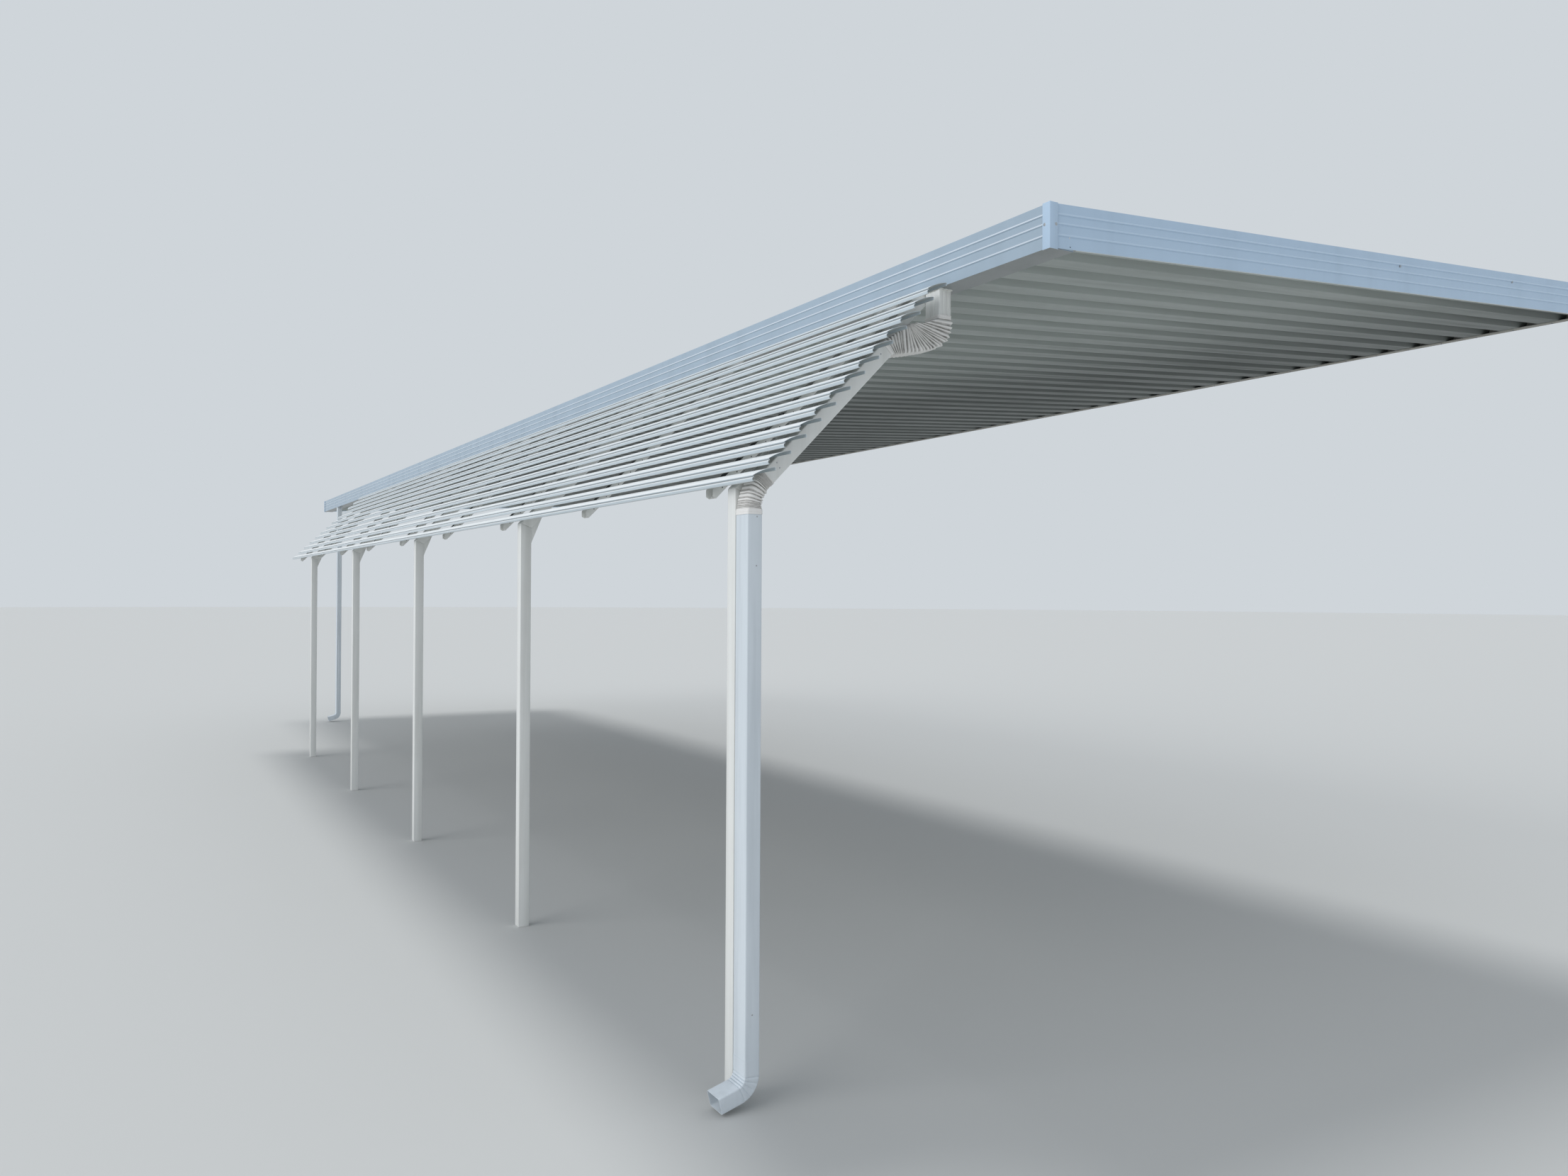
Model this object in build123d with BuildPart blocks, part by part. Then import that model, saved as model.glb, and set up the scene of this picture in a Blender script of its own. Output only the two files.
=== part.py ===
from build123d import *
import os
from math import cos, hypot, radians, sin, tan

# A white aluminium lean-to carport. The wall ledger carries the high edge of a ribbed deck.
# A deep gutter fascia carries the low edge, and five square posts stand further out, under a
# louvred visor that slopes down from the gutter at 45 degrees.
# Frame: +X points to the house wall, +Y along the carport, +Z up. The origin lies on the flat
# back face of the ledger, halfway along and halfway up it. All sizes are in millimetres.

# Roof
eave_height = 2583          # ground to the bottom edge of the gutter fascia
roof_width = 3170           # wall to the outer face of the gutter fascia
roof_length = 13140
roof_rise = 195             # how much higher the deck is at the wall than at the fascia

# Wall ledger
ledger_height = 70
ledger_flange = 55
ledger_sheet = 3
flashing_gap = 0.3          # between the deck's ribs and the flashing over them
deck_end_gap = 0.5          # between the deck's end and the ledger's back plate

# Gutter fascia and end fascias
fascia_height = 132
fascia_sheet = 2
fascia_return = 18          # top edge folded inwards
fascia_hem = 8              # end of that fold, turned down
rib_levels = (0.266, 0.520, 0.733)      # heights of the three ribs, as shares of the fascia
rib_depth = 2.5
rib_under = 2               # height of a rib's short lower slope
rib_crest = 1.5
rib_over = 5                # height of a rib's long upper slope
gutter_width = 95
gutter_step = 6             # how far the deck's seat stands above the gutter's pan
gutter_ledge = 30           # width of the deck's seat
end_ledge = 25

# Corner caps
cap_leg = 32
cap_sheet = 1.5
cap_reach = 3               # how far a cap stands past the fascia's edges

# Ribbed deck
sheet_count = 5
ribs_per_sheet = 16
deck_sheet = 1.5
deck_depth = 38
deck_rib_top = 50
deck_rib_base = 82
deck_lap = 10               # how far the deck reaches over the gutter's pan

# Posts and visor
post_count = 5
post_size = 50.8
post_spacing = 2134
first_post = 635            # near end of the roof to the first post's centre line
post_offset = 717           # fascia's outer face to the posts' outboard face
visor_angle = 45
slat_count = 13
slat_pitch = 75
slat_sheet = 1.2
slat_start = 430            # near end of the roof to the near ends of the slats
slat_length = 9726
first_lip_out = 120         # fascia's outer face to the first slat's lip
first_lip_drop = 49         # fascia's bottom edge to the middle of the first slat's lip

# One slat's profile, measured inboard and up from the middle of its lip
lip_half = 8
lip_curl = 4                # how far the lip's foot is rolled inboard
lip_bevel = 2
slat_crease = 1.6
crease_height = 3           # of the crease between the lip and the arched top
slat_width = 79
slat_rise = 38
slat_arch = 28              # height of the arched top at the middle of the slat
inner_lip = 10
inner_bevel = 3

# Hangers and arms under the slats
arm_depth = 50.8
channel_width = 50.8
channel_sheet = 2
hanger_count = 9
hanger_depth = 28.6
first_hanger = 804          # near end of the roof to the first hanger's centre line
hanger_pitch = 1137
hanger_tail = 48            # level distance from the last slat's lip in to the hangers' ends
hanger_end_height = 22      # of the plumb cut at a hanger's lower end
hanger_end_clip = 12        # level run of the clipped corner below that cut

# Knee brackets
bracket_leg = 72
bracket_width = 46
bracket_sheet = 2

# Downspouts, nominal 2 by 3 inch
pipe_depth = 50.8
pipe_breadth = 76.2
pipe_wall = 1.5
pipe_corner = 4
pipe_seat_gap = 0.3         # between a bend's pleats and the post or slats beside it
pleat_height = 4
collar_proud = 1.5
collar_length = 12
outlet_length = 88
outlet_from_fascia = 5      # fascia's outer face to the outlet's outboard face
upper_corner_drop = 70      # foot of the outlet to the first corner of the upper bend
upper_bend_leave = 10       # degrees below level between the upper bend's two corners
upper_bend_radius = 72
upper_back_radius = 110
upper_pleats = 15
lower_bend_radius = 132
lower_pleats = 8
pipe_foot = 152             # ground to the lower end of the upright pipes
kick_radius = 50
kick_turn = 58              # degrees
kick_reach = 107            # straight run from the kick-out's turn to its mouth
kick_mouth = 55
kick_pleats = 5
far_pipe_from_end = 910     # far end of the roof to the far downspout's centre line

# Derived levels and places
half_length = roof_length / 2
slope = roof_rise / roof_width
deck_seat_at_wall = -ledger_height / 2 + ledger_sheet
edge_at_wall = deck_seat_at_wall - fascia_sheet - gutter_step
eave = edge_at_wall - roof_rise
ground = eave - eave_height
fascia_x = -roof_width
near_end = -half_length


def edge_level(x):
    """Height of the end fascias' bottom edge at x."""
    return edge_at_wall + slope * x


def deck_seat(x):
    """Height of the face that the deck's low flutes rest on."""
    return deck_seat_at_wall + slope * x


visor = radians(visor_angle)
lip_step_x = slat_pitch * cos(visor)
lip_step_z = slat_pitch * sin(visor)
first_lip_x = fascia_x - first_lip_out
first_lip_z = eave - first_lip_drop

# The slats' inner lips rest on the arms and hangers, along this line: z = x * tan + arm_top
inner_foot_x = first_lip_x + slat_width
inner_foot_z = first_lip_z + slat_rise - inner_lip
arm_top = inner_foot_z - inner_foot_x * tan(visor)
arm_bottom = arm_top - arm_depth / cos(visor)
hanger_bottom = arm_top - hanger_depth / cos(visor)

post_outer_x = fascia_x - post_offset
post_inner_x = post_outer_x + post_size
near_post_y = near_end + first_post

os.makedirs("parts", exist_ok=True)


def save(piece, name):
    """Label a finished piece and write it to its own file."""
    piece.part.label = name
    export_step(piece.part, f"parts/{name}.step")


def across(y):
    """A sketch plane across the carport at y: its x is +X, its y is +Z, it faces -Y."""
    return Plane(origin=(0, y, 0), x_dir=(1, 0, 0), z_dir=(0, -1, 0))


def facing_wall(x):
    """An upright sketch plane at x that faces the wall: its x is +Y, its y is +Z."""
    return Plane(origin=(x, 0, 0), x_dir=(0, 1, 0), z_dir=(1, 0, 0))


def filled(points):
    """Add the area inside a closed outline to the sketch that is open."""
    Polygon(*points, align=None)


# Wall ledger: back plate, the flange under the deck and the flashing over its ribs
rib_crown = deck_depth + deck_sheet + flashing_gap
flange_x = -ledger_flange
with BuildPart() as ledger:
    with BuildSketch(across(half_length - fascia_sheet)):
        filled([(0, -ledger_height / 2), (0, ledger_height / 2),
                (-ledger_sheet, ledger_height / 2), (-ledger_sheet, -ledger_height / 2)])
        filled([(0, deck_seat(0) - ledger_sheet), (0, deck_seat(0)),
                (flange_x, deck_seat(flange_x)), (flange_x, deck_seat(flange_x) - ledger_sheet)])
        filled([(0, deck_seat(0) + rib_crown), (0, deck_seat(0) + rib_crown + ledger_sheet),
                (flange_x, deck_seat(flange_x) + rib_crown + ledger_sheet),
                (flange_x, deck_seat(flange_x) + rib_crown)])
    extrude(amount=roof_length - 2 * fascia_sheet)
save(ledger, "wall_ledger")


def ribbed_face():
    """Outline of a fascia's face, inwards and up from the foot of its outer side."""
    outer = [(0, 0)]
    for level in rib_levels:
        foot = level * fascia_height
        outer += [(0, foot), (-rib_depth, foot + rib_under)]
        outer += [(-rib_depth, foot + rib_under + rib_crest)]
        outer += [(0, foot + rib_under + rib_crest + rib_over)]
    outer += [(0, fascia_height)]
    return outer + [(depth + fascia_sheet, level) for depth, level in reversed(outer)]


def top_fold():
    """Outline of a fascia's top edge, folded inwards and turned down."""
    top = fascia_height
    return [(fascia_sheet, top), (fascia_return, top), (fascia_return, top - fascia_hem),
            (fascia_return - fascia_sheet, top - fascia_hem),
            (fascia_return - fascia_sheet, top - fascia_sheet), (fascia_sheet, top - fascia_sheet)]


# Outlets: where each downspout leaves the gutter's pan
outlet_x = fascia_x + outlet_from_fascia + pipe_depth / 2
near_pipe_y = near_post_y - post_size / 2 - pipe_seat_gap - pleat_height - pipe_breadth / 2
far_pipe_y = half_length - far_pipe_from_end
bore_depth = pipe_depth - 2 * pipe_wall
bore_breadth = pipe_breadth - 2 * pipe_wall

# Outer gutter: ribbed fascia, flat pan with two outlet holes, and the sloping seat of the deck
pan_edge = fascia_x + gutter_width
ledge_edge = pan_edge + gutter_ledge
with BuildPart() as gutter:
    with BuildSketch(across(half_length - fascia_sheet)):
        filled([(fascia_x + depth, eave + level) for depth, level in ribbed_face()])
        filled([(fascia_x + depth, eave + level) for depth, level in top_fold()])
        filled([(fascia_x + fascia_sheet, eave), (pan_edge, eave),
                (pan_edge, eave + fascia_sheet), (fascia_x + fascia_sheet, eave + fascia_sheet)])
        filled([(pan_edge - fascia_sheet, eave), (pan_edge, eave),
                (pan_edge, deck_seat(pan_edge)),
                (pan_edge - fascia_sheet, deck_seat(pan_edge - fascia_sheet))])
        filled([(pan_edge, deck_seat(pan_edge) - fascia_sheet), (pan_edge, deck_seat(pan_edge)),
                (ledge_edge, deck_seat(ledge_edge)),
                (ledge_edge, deck_seat(ledge_edge) - fascia_sheet)])
    extrude(amount=roof_length - 2 * fascia_sheet)
    with BuildSketch(Plane.XY.offset(eave)):
        with Locations((outlet_x, near_pipe_y), (outlet_x, far_pipe_y)):
            Rectangle(bore_depth, bore_breadth)
    extrude(amount=fascia_sheet, mode=Mode.SUBTRACT)
save(gutter, "outer_gutter")


def rise_along(x_from, x_to):
    """Length and direction of an extrusion that follows the roof's slope."""
    run = x_to - x_from
    return hypot(run, slope * run), (1, 0, slope)


# End fascias: a ribbed face along the slope, with the top fold and the seat of the deck inside
fold_start = fascia_x + fascia_return
seat_low = gutter_step
seat_high = gutter_step + fascia_sheet
with BuildPart() as near_fascia:
    with BuildSketch(facing_wall(fascia_x)):
        filled([(near_end + depth, eave + level) for depth, level in ribbed_face()])
    face_length, along_slope = rise_along(fascia_x, 0)
    extrude(amount=face_length, dir=along_slope)
    with BuildSketch(facing_wall(fold_start)):
        filled([(near_end + depth, edge_level(fold_start) + level) for depth, level in top_fold()])
    fold_length, along_slope = rise_along(fold_start, 0)
    extrude(amount=fold_length, dir=along_slope)
    with BuildSketch(facing_wall(ledge_edge)):
        filled([(near_end + depth, edge_level(ledge_edge) + level) for depth, level in
                ((fascia_sheet, seat_low), (end_ledge, seat_low),
                 (end_ledge, seat_high), (fascia_sheet, seat_high))])
    seat_length, along_slope = rise_along(ledge_edge, flange_x)
    extrude(amount=seat_length, dir=along_slope)
save(near_fascia, "near_end_fascia")

with BuildPart() as far_fascia:
    add(near_fascia.part)
    mirror(about=Plane.XZ, mode=Mode.REPLACE)
save(far_fascia, "far_end_fascia")

# Corner caps: plain angles over the meeting ribs
cap_x = fascia_x - rib_depth - cap_sheet
cap_y = near_end - rib_depth - cap_sheet
with BuildPart() as caps:
    with BuildSketch(Plane.XY.offset(eave - cap_reach)):
        filled([(cap_x, cap_y), (cap_x + cap_leg, cap_y), (cap_x + cap_leg, cap_y + cap_sheet),
                (cap_x + cap_sheet, cap_y + cap_sheet), (cap_x + cap_sheet, cap_y + cap_leg),
                (cap_x, cap_y + cap_leg)])
    extrude(amount=fascia_height + 2 * cap_reach)
    mirror(about=Plane.XZ)
save(caps, "corner_caps")

# Ribbed deck: sheets laid side by side, their ribs running from the gutter up to the wall
deck_start = pan_edge - deck_lap
deck_end = -ledger_sheet - deck_end_gap
sheet_width = (roof_length - 2 * fascia_sheet) / sheet_count
deck_pitch = sheet_width / ribs_per_sheet
for number in range(sheet_count):
    sheet_y = near_end + fascia_sheet + number * sheet_width
    under = [(sheet_y, 0)]
    for rib in range(ribs_per_sheet):
        middle = sheet_y + (rib + 0.5) * deck_pitch
        under += [(middle - deck_rib_base / 2, 0), (middle - deck_rib_top / 2, deck_depth)]
        under += [(middle + deck_rib_top / 2, deck_depth), (middle + deck_rib_base / 2, 0)]
    under += [(sheet_y + sheet_width, 0)]
    above = [(y, level + deck_sheet) for y, level in reversed(under)]
    with BuildPart() as deck:
        with BuildSketch(facing_wall(deck_start)):
            filled([(y, deck_seat(deck_start) + level) for y, level in under + above])
        deck_run, along_slope = rise_along(deck_start, deck_end)
        extrude(amount=deck_run, dir=along_slope)
    save(deck, f"roof_sheet_{number + 1}")

# Visor slats: shallow arched trays with a rolled lip outboard and a plain lip inboard
slat_far_y = near_end + slat_start + slat_length
for number in range(slat_count):
    lip_x = first_lip_x - number * lip_step_x
    lip_z = first_lip_z - number * lip_step_z
    with BuildPart() as slat:
        with BuildSketch(Plane(origin=(lip_x, slat_far_y, lip_z), x_dir=(1, 0, 0), z_dir=(0, -1, 0))):
            with BuildLine():
                Polyline((lip_curl, -lip_half + lip_bevel / 2), (lip_bevel, -lip_half),
                         (0, -lip_half + lip_bevel), (0, lip_half - crease_height),
                         (slat_crease, lip_half - crease_height / 2), (slat_crease / 2, lip_half))
                ThreePointArc((slat_crease / 2, lip_half), (slat_width / 2, slat_arch),
                              (slat_width - inner_bevel, slat_rise))
                Polyline((slat_width - inner_bevel, slat_rise),
                         (slat_width, slat_rise - inner_bevel),
                         (slat_width, slat_rise - inner_lip))
                offset(amount=slat_sheet, side=Side.RIGHT)
            make_face()
        extrude(amount=slat_length)
    save(slat, f"visor_slat_{number + 1:02d}")


def arm_outline(lower_end, bottom):
    """Side outline of an arm: its lower end, then its flat top under the gutter's pan."""
    top_in = ((eave - bottom) / tan(visor), eave)
    top_out = ((eave - arm_top) / tan(visor), eave)
    return lower_end + [top_in, top_out]


# Posts with mitred heads, and the arms that carry on up to the gutter
head_in = post_inner_x * tan(visor) + arm_bottom
head_out = post_outer_x * tan(visor) + arm_top
for number in range(post_count):
    post_y = near_post_y + number * post_spacing
    with BuildPart() as post:
        with BuildSketch(across(post_y + post_size / 2)):
            filled([(post_outer_x, ground), (post_inner_x, ground),
                    (post_inner_x, head_in), (post_outer_x, head_out)])
        extrude(amount=post_size)
    save(post, f"post_{number + 1}")
    with BuildPart() as arm:
        with BuildSketch(across(post_y + post_size / 2)):
            filled(arm_outline([(post_outer_x, head_out), (post_inner_x, head_in)], arm_bottom))
        extrude(amount=post_size)
    save(arm, f"post_arm_{number + 1}")

# Hangers: shallow open channels with their web below, cut plumb and clipped at the lower end
tail_x = first_lip_x - (slat_count - 1) * lip_step_x + hanger_tail
tail_top = tail_x * tan(visor) + arm_top
clip_x = tail_x + hanger_end_clip
tail_end = [(tail_x, tail_top), (tail_x, tail_top - hanger_end_height),
            (clip_x, clip_x * tan(visor) + hanger_bottom)]
web_line = hanger_bottom + channel_sheet / cos(visor)
past_tail_x = tail_x - channel_width
with BuildPart() as hangers:
    for number in range(hanger_count):
        hanger_y = near_end + first_hanger + number * hanger_pitch
        with BuildSketch(across(hanger_y + channel_width / 2)):
            filled(arm_outline(tail_end, hanger_bottom))
        extrude(amount=channel_width)
        with BuildSketch(across(hanger_y + channel_width / 2 - channel_sheet)):
            filled([(past_tail_x, past_tail_x * tan(visor) + web_line),
                    (pan_edge, pan_edge * tan(visor) + web_line),
                    (past_tail_x, pan_edge * tan(visor) + web_line)])
        extrude(amount=channel_width - 2 * channel_sheet, mode=Mode.SUBTRACT)
save(hangers, "visor_hangers")

# Knee brackets: folded sheets in the corners between the posts and their arms
corner = (post_inner_x, head_in)
down_post = (post_inner_x, head_in - bracket_leg)
up_arm = (post_inner_x + bracket_leg * cos(visor), head_in + bracket_leg * sin(visor))
with BuildPart() as brackets:
    for number in range(post_count):
        post_y = near_post_y + number * post_spacing
        with BuildSketch(across(post_y + bracket_width / 2)):
            filled([corner, down_post, up_arm])
        extrude(amount=bracket_width)
        with BuildSketch(across(post_y + bracket_width / 2 - bracket_sheet)):
            filled([(x - bracket_sheet * sin(visor), z + bracket_sheet) for x, z in
                    (corner, down_post, up_arm)])
        extrude(amount=bracket_width - 2 * bracket_sheet, mode=Mode.SUBTRACT)
save(brackets, "knee_brackets")


def line_of(y, points, radii):
    """A pipe's centre line at y: straight runs with rounded corners."""
    with BuildLine(across(y)) as line:
        FilletPolyline(*points, radius=radii)
    return line.wire()


def flexible_pipe(name, route, pleats, last_collar):
    """A bend along a flat line: a plain collar at each end and pleats between them."""
    first_share = collar_length / route.length
    pleated_share = 1 - first_share - last_collar / route.length
    rings = [(0, collar_proud), (first_share, collar_proud)]
    for half_pleat in range(2 * pleats + 1):
        share = first_share + pleated_share * (half_pleat + 0.5) / (2 * pleats + 1)
        rings += [(share, pleat_height if half_pleat % 2 else 0)]
    rings += [(first_share + pleated_share, collar_proud), (1, collar_proud)]
    with BuildPart() as bend:
        for share, proud in rings:
            with BuildSketch(Plane(route @ share, (0, 1, 0), route % share)):
                Rectangle(pipe_breadth + 2 * proud, pipe_depth + 2 * proud)
        loft(ruled=True)
        for share, proud in rings:
            with BuildSketch(Plane(route @ share, (0, 1, 0), route % share)):
                Rectangle(bore_breadth, bore_depth)
        loft(ruled=True, mode=Mode.SUBTRACT)
    save(bend, name)


def straight_pipe(name, start, end):
    """A thin rectangular pipe with rounded corners, from start to end."""
    with BuildPart() as pipe:
        with BuildSketch(Plane(start, (0, 1, 0), end - start)):
            RectangleRounded(pipe_breadth, pipe_depth, pipe_corner)
            Rectangle(bore_breadth, bore_depth, mode=Mode.SUBTRACT)
        extrude(amount=(end - start).length)
    save(pipe, name)


def kick_out(name, x, y):
    """The bend at the foot of an upright pipe: it turns outboard and ends in an open mouth."""
    turn = radians(kick_turn)
    tangent = kick_radius * tan(turn / 2)
    corner_z = ground + pipe_foot - collar_length - tangent
    reach = tangent + kick_reach
    points = [(x, ground + pipe_foot), (x, corner_z),
              (x - reach * sin(turn), corner_z - reach * cos(turn))]
    flexible_pipe(name, line_of(y, points, kick_radius), kick_pleats, kick_mouth)


# Near downspout: under the slats beside the first arm, then down beside the first post
pipe_line = arm_top - (pipe_seat_gap + pleat_height + pipe_depth / 2) / cos(visor)
post_pipe_x = post_outer_x + pipe_depth / 2
leave = radians(upper_bend_leave)
first_corner_z = eave - outlet_length - upper_corner_drop
second_corner_x = ((first_corner_z - outlet_x * tan(leave) - pipe_line)
                   / (tan(visor) - tan(leave)))
second_corner_z = second_corner_x * tan(visor) + pipe_line
upper_run = upper_back_radius * tan((visor - leave) / 2) + collar_length
upper_line = line_of(near_pipe_y, [
    (outlet_x, eave - outlet_length),
    (outlet_x, first_corner_z),
    (second_corner_x, second_corner_z),
    (second_corner_x - upper_run * cos(visor), second_corner_z - upper_run * sin(visor)),
], [upper_bend_radius, upper_back_radius])
elbow_z = post_pipe_x * tan(visor) + pipe_line
lower_run = lower_bend_radius * tan((radians(90) - visor) / 2) + collar_length
lower_line = line_of(near_pipe_y, [
    (post_pipe_x + lower_run * cos(visor), elbow_z + lower_run * sin(visor)),
    (post_pipe_x, elbow_z),
    (post_pipe_x, elbow_z - lower_run),
], lower_bend_radius)
straight_pipe("near_outlet", Vector(outlet_x, near_pipe_y, eave), upper_line @ 0)
flexible_pipe("near_upper_bend", upper_line, upper_pleats, collar_length)
straight_pipe("near_sloping_pipe", upper_line @ 1, lower_line @ 0)
flexible_pipe("near_lower_bend", lower_line, lower_pleats, collar_length)
straight_pipe("near_downspout", lower_line @ 1, Vector(post_pipe_x, near_pipe_y, ground + pipe_foot))
kick_out("near_kickout", post_pipe_x, near_pipe_y)

# Far downspout: straight down from the gutter, beyond the visor's far end
straight_pipe("far_downspout", Vector(outlet_x, far_pipe_y, eave),
              Vector(outlet_x, far_pipe_y, ground + pipe_foot))
kick_out("far_kickout", outlet_x, far_pipe_y)
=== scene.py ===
# %% [markdown]
# # A white aluminium lean-to carport
#
# The real object is a roof of thin ribbed sheet that hangs from a ledger at one side and stands on
# a row of slim posts at the other. A louvred visor slopes down from its gutter to the posts.
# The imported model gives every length. This lesson loads it, dresses its bare metal, and makes the
# pieces that need more than flat faces: rolled slats, pleated bends, rounded tubes and screws.

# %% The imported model
import math
import random

import bmesh
import bpy
from mathutils import Matrix, Vector


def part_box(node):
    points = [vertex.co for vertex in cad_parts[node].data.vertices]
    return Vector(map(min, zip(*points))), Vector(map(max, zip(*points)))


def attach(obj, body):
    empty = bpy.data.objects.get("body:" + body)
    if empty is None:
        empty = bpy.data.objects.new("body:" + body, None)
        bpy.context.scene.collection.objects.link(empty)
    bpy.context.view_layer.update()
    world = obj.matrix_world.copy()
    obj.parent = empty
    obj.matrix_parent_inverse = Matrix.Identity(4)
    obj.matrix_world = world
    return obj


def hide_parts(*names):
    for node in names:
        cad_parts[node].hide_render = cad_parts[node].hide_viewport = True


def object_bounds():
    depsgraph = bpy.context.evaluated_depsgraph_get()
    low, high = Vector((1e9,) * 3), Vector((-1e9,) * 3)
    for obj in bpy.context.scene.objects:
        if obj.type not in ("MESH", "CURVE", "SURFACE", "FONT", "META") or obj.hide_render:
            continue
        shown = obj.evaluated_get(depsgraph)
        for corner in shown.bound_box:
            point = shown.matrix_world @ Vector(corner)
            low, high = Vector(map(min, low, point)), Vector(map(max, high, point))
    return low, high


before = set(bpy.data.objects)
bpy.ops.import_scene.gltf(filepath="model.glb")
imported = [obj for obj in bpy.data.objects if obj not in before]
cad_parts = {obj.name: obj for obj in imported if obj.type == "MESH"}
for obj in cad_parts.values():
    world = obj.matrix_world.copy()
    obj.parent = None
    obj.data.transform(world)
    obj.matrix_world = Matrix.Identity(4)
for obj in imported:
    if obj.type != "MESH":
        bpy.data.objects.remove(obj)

MM = 0.001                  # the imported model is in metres, and this script thinks in millimetres
cad_low, cad_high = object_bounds()
GROUND = cad_low.z
BODY = "root"
print("nodes", len(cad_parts), "ground at", round(GROUND, 3))

# %% [markdown]
# ## Camera, floor and light
#
# The camera stands where the photograph was taken, just outside the posts and below the eave. Its
# place and turn came from straight edges of the object. The light is plain and soft: a high lamp,
# nearly overhead, brightens whatever faces up, a weaker one from the open side keeps the posts
# white, and an even sky fills the rest, so a colour renders about as it is written.

# %% Camera
CAMERA_PLACE = (-5.549, -9.0941, -1.2589)
CAMERA_RIGHT = Vector((0.86265, -0.505775, 0.005195))
CAMERA_UP = Vector((-0.007288, -0.002159, 0.999971))
LENS_MM = 26.477
camera_data = bpy.data.cameras.new("photo_camera")
camera_data.sensor_width = 36
camera_data.lens = LENS_MM
camera = bpy.data.objects.new("photo_camera", camera_data)
bpy.context.scene.collection.objects.link(camera)
axes = Matrix((CAMERA_RIGHT, CAMERA_UP, CAMERA_RIGHT.cross(CAMERA_UP))).transposed()
camera.matrix_world = Matrix.Translation(CAMERA_PLACE) @ axes.to_4x4()
bpy.context.scene.camera = camera
print("lens", camera_data.lens, "mm")


# %% Colours and nodes
def linear(hex_code):
    """The linear red, green, blue and alpha of an sRGB hex colour."""
    shares = [int(hex_code[i:i + 2], 16) / 255 for i in (1, 3, 5)]
    return tuple(s / 12.92 if s <= 0.04045 else ((s + 0.055) / 1.055) ** 2.4 for s in shares) + (1,)


def add_node(tree, kind, settings=None, inputs=None):
    """Add a node, set its settings, and give its inputs values or links."""
    node = tree.nodes.new(kind)
    for name, value in (settings or {}).items():
        setattr(node, name, value)
    for key, value in (inputs or {}).items():
        if isinstance(value, bpy.types.NodeSocket):
            tree.links.new(value, node.inputs[key])
        else:
            node.inputs[key].default_value = value
    return node


# %% Floor, sky and lamps
FLOOR_RADIUS = 120          # metres, far enough for its rim to pass for the horizon
FLOOR_CORNERS = 64
FLOOR_ROUGHNESS = 0.9
FLOOR_COLOUR = "#CBCCCA"
SKY_SEEN = "#CFD5DA"
SKY_LIGHT = "#E1E8F1"
SKY_STRENGTH = 0.64
HIGH_LAMP = {"strength": 1.14, "softness": math.radians(16),
             "from": Vector((0.14, 0.32, 1.2))}
SIDE_LAMP = {"strength": 1.05, "softness": math.radians(50),
             "from": Vector((-1.0, -0.12, 0.42))}

floor_mesh = bpy.data.meshes.new("floor")
angles = [math.tau * i / FLOOR_CORNERS for i in range(FLOOR_CORNERS)]
rim = [(FLOOR_RADIUS * math.cos(a), FLOOR_RADIUS * math.sin(a), GROUND) for a in angles]
floor_mesh.from_pydata(rim, [], [tuple(range(FLOOR_CORNERS))])
floor = bpy.data.objects.new("floor", floor_mesh)
bpy.context.scene.collection.objects.link(floor)
floor_material = bpy.data.materials.new("plain pale floor")
floor_material.use_nodes = True
floor_shader = floor_material.node_tree.nodes["Principled BSDF"]
floor_shader.inputs["Base Color"].default_value = linear(FLOOR_COLOUR)
floor_shader.inputs["Roughness"].default_value = FLOOR_ROUGHNESS
floor_mesh.materials.append(floor_material)

world = bpy.data.worlds.new("studio sky")
bpy.context.scene.world = world
world.use_nodes = True
sky = world.node_tree
sky.nodes.clear()
seen = add_node(sky, "ShaderNodeBackground", None,
                {"Color": linear(SKY_SEEN), "Strength": 1.0})
lit = add_node(sky, "ShaderNodeBackground", None,
               {"Color": linear(SKY_LIGHT), "Strength": SKY_STRENGTH})
# The camera sees the pale sky, and so do the reflections in the screws and the gloss of the enamel
path = add_node(sky, "ShaderNodeLightPath")
looks_or_mirrors = add_node(sky, "ShaderNodeMath", {"operation": "MAXIMUM"},
                            {0: path.outputs["Is Camera Ray"], 1: path.outputs["Is Glossy Ray"]})
sees_sky = add_node(sky, "ShaderNodeMath", {"operation": "MAXIMUM"},
                    {0: looks_or_mirrors.outputs[0], 1: path.outputs["Is Transmission Ray"]})
sky_choice = add_node(sky, "ShaderNodeMixShader", None,
                      {0: sees_sky.outputs[0], 1: lit.outputs[0], 2: seen.outputs[0]})
add_node(sky, "ShaderNodeOutputWorld", None, {"Surface": sky_choice.outputs[0]})

for lamp_name, choice in (("high lamp", HIGH_LAMP), ("side lamp", SIDE_LAMP)):
    lamp_data = bpy.data.lights.new(lamp_name, "SUN")
    lamp_data.energy = choice["strength"]
    lamp_data.angle = choice["softness"]
    lamp = bpy.data.objects.new(lamp_name, lamp_data)
    bpy.context.scene.collection.objects.link(lamp)
    lamp.rotation_euler = choice["from"].to_track_quat("Z", "Y").to_euler()
    print(lamp_name, "from", [round(c, 2) for c in choice["from"].normalized()])
bpy.context.scene.view_settings.view_transform = "Standard"
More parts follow.
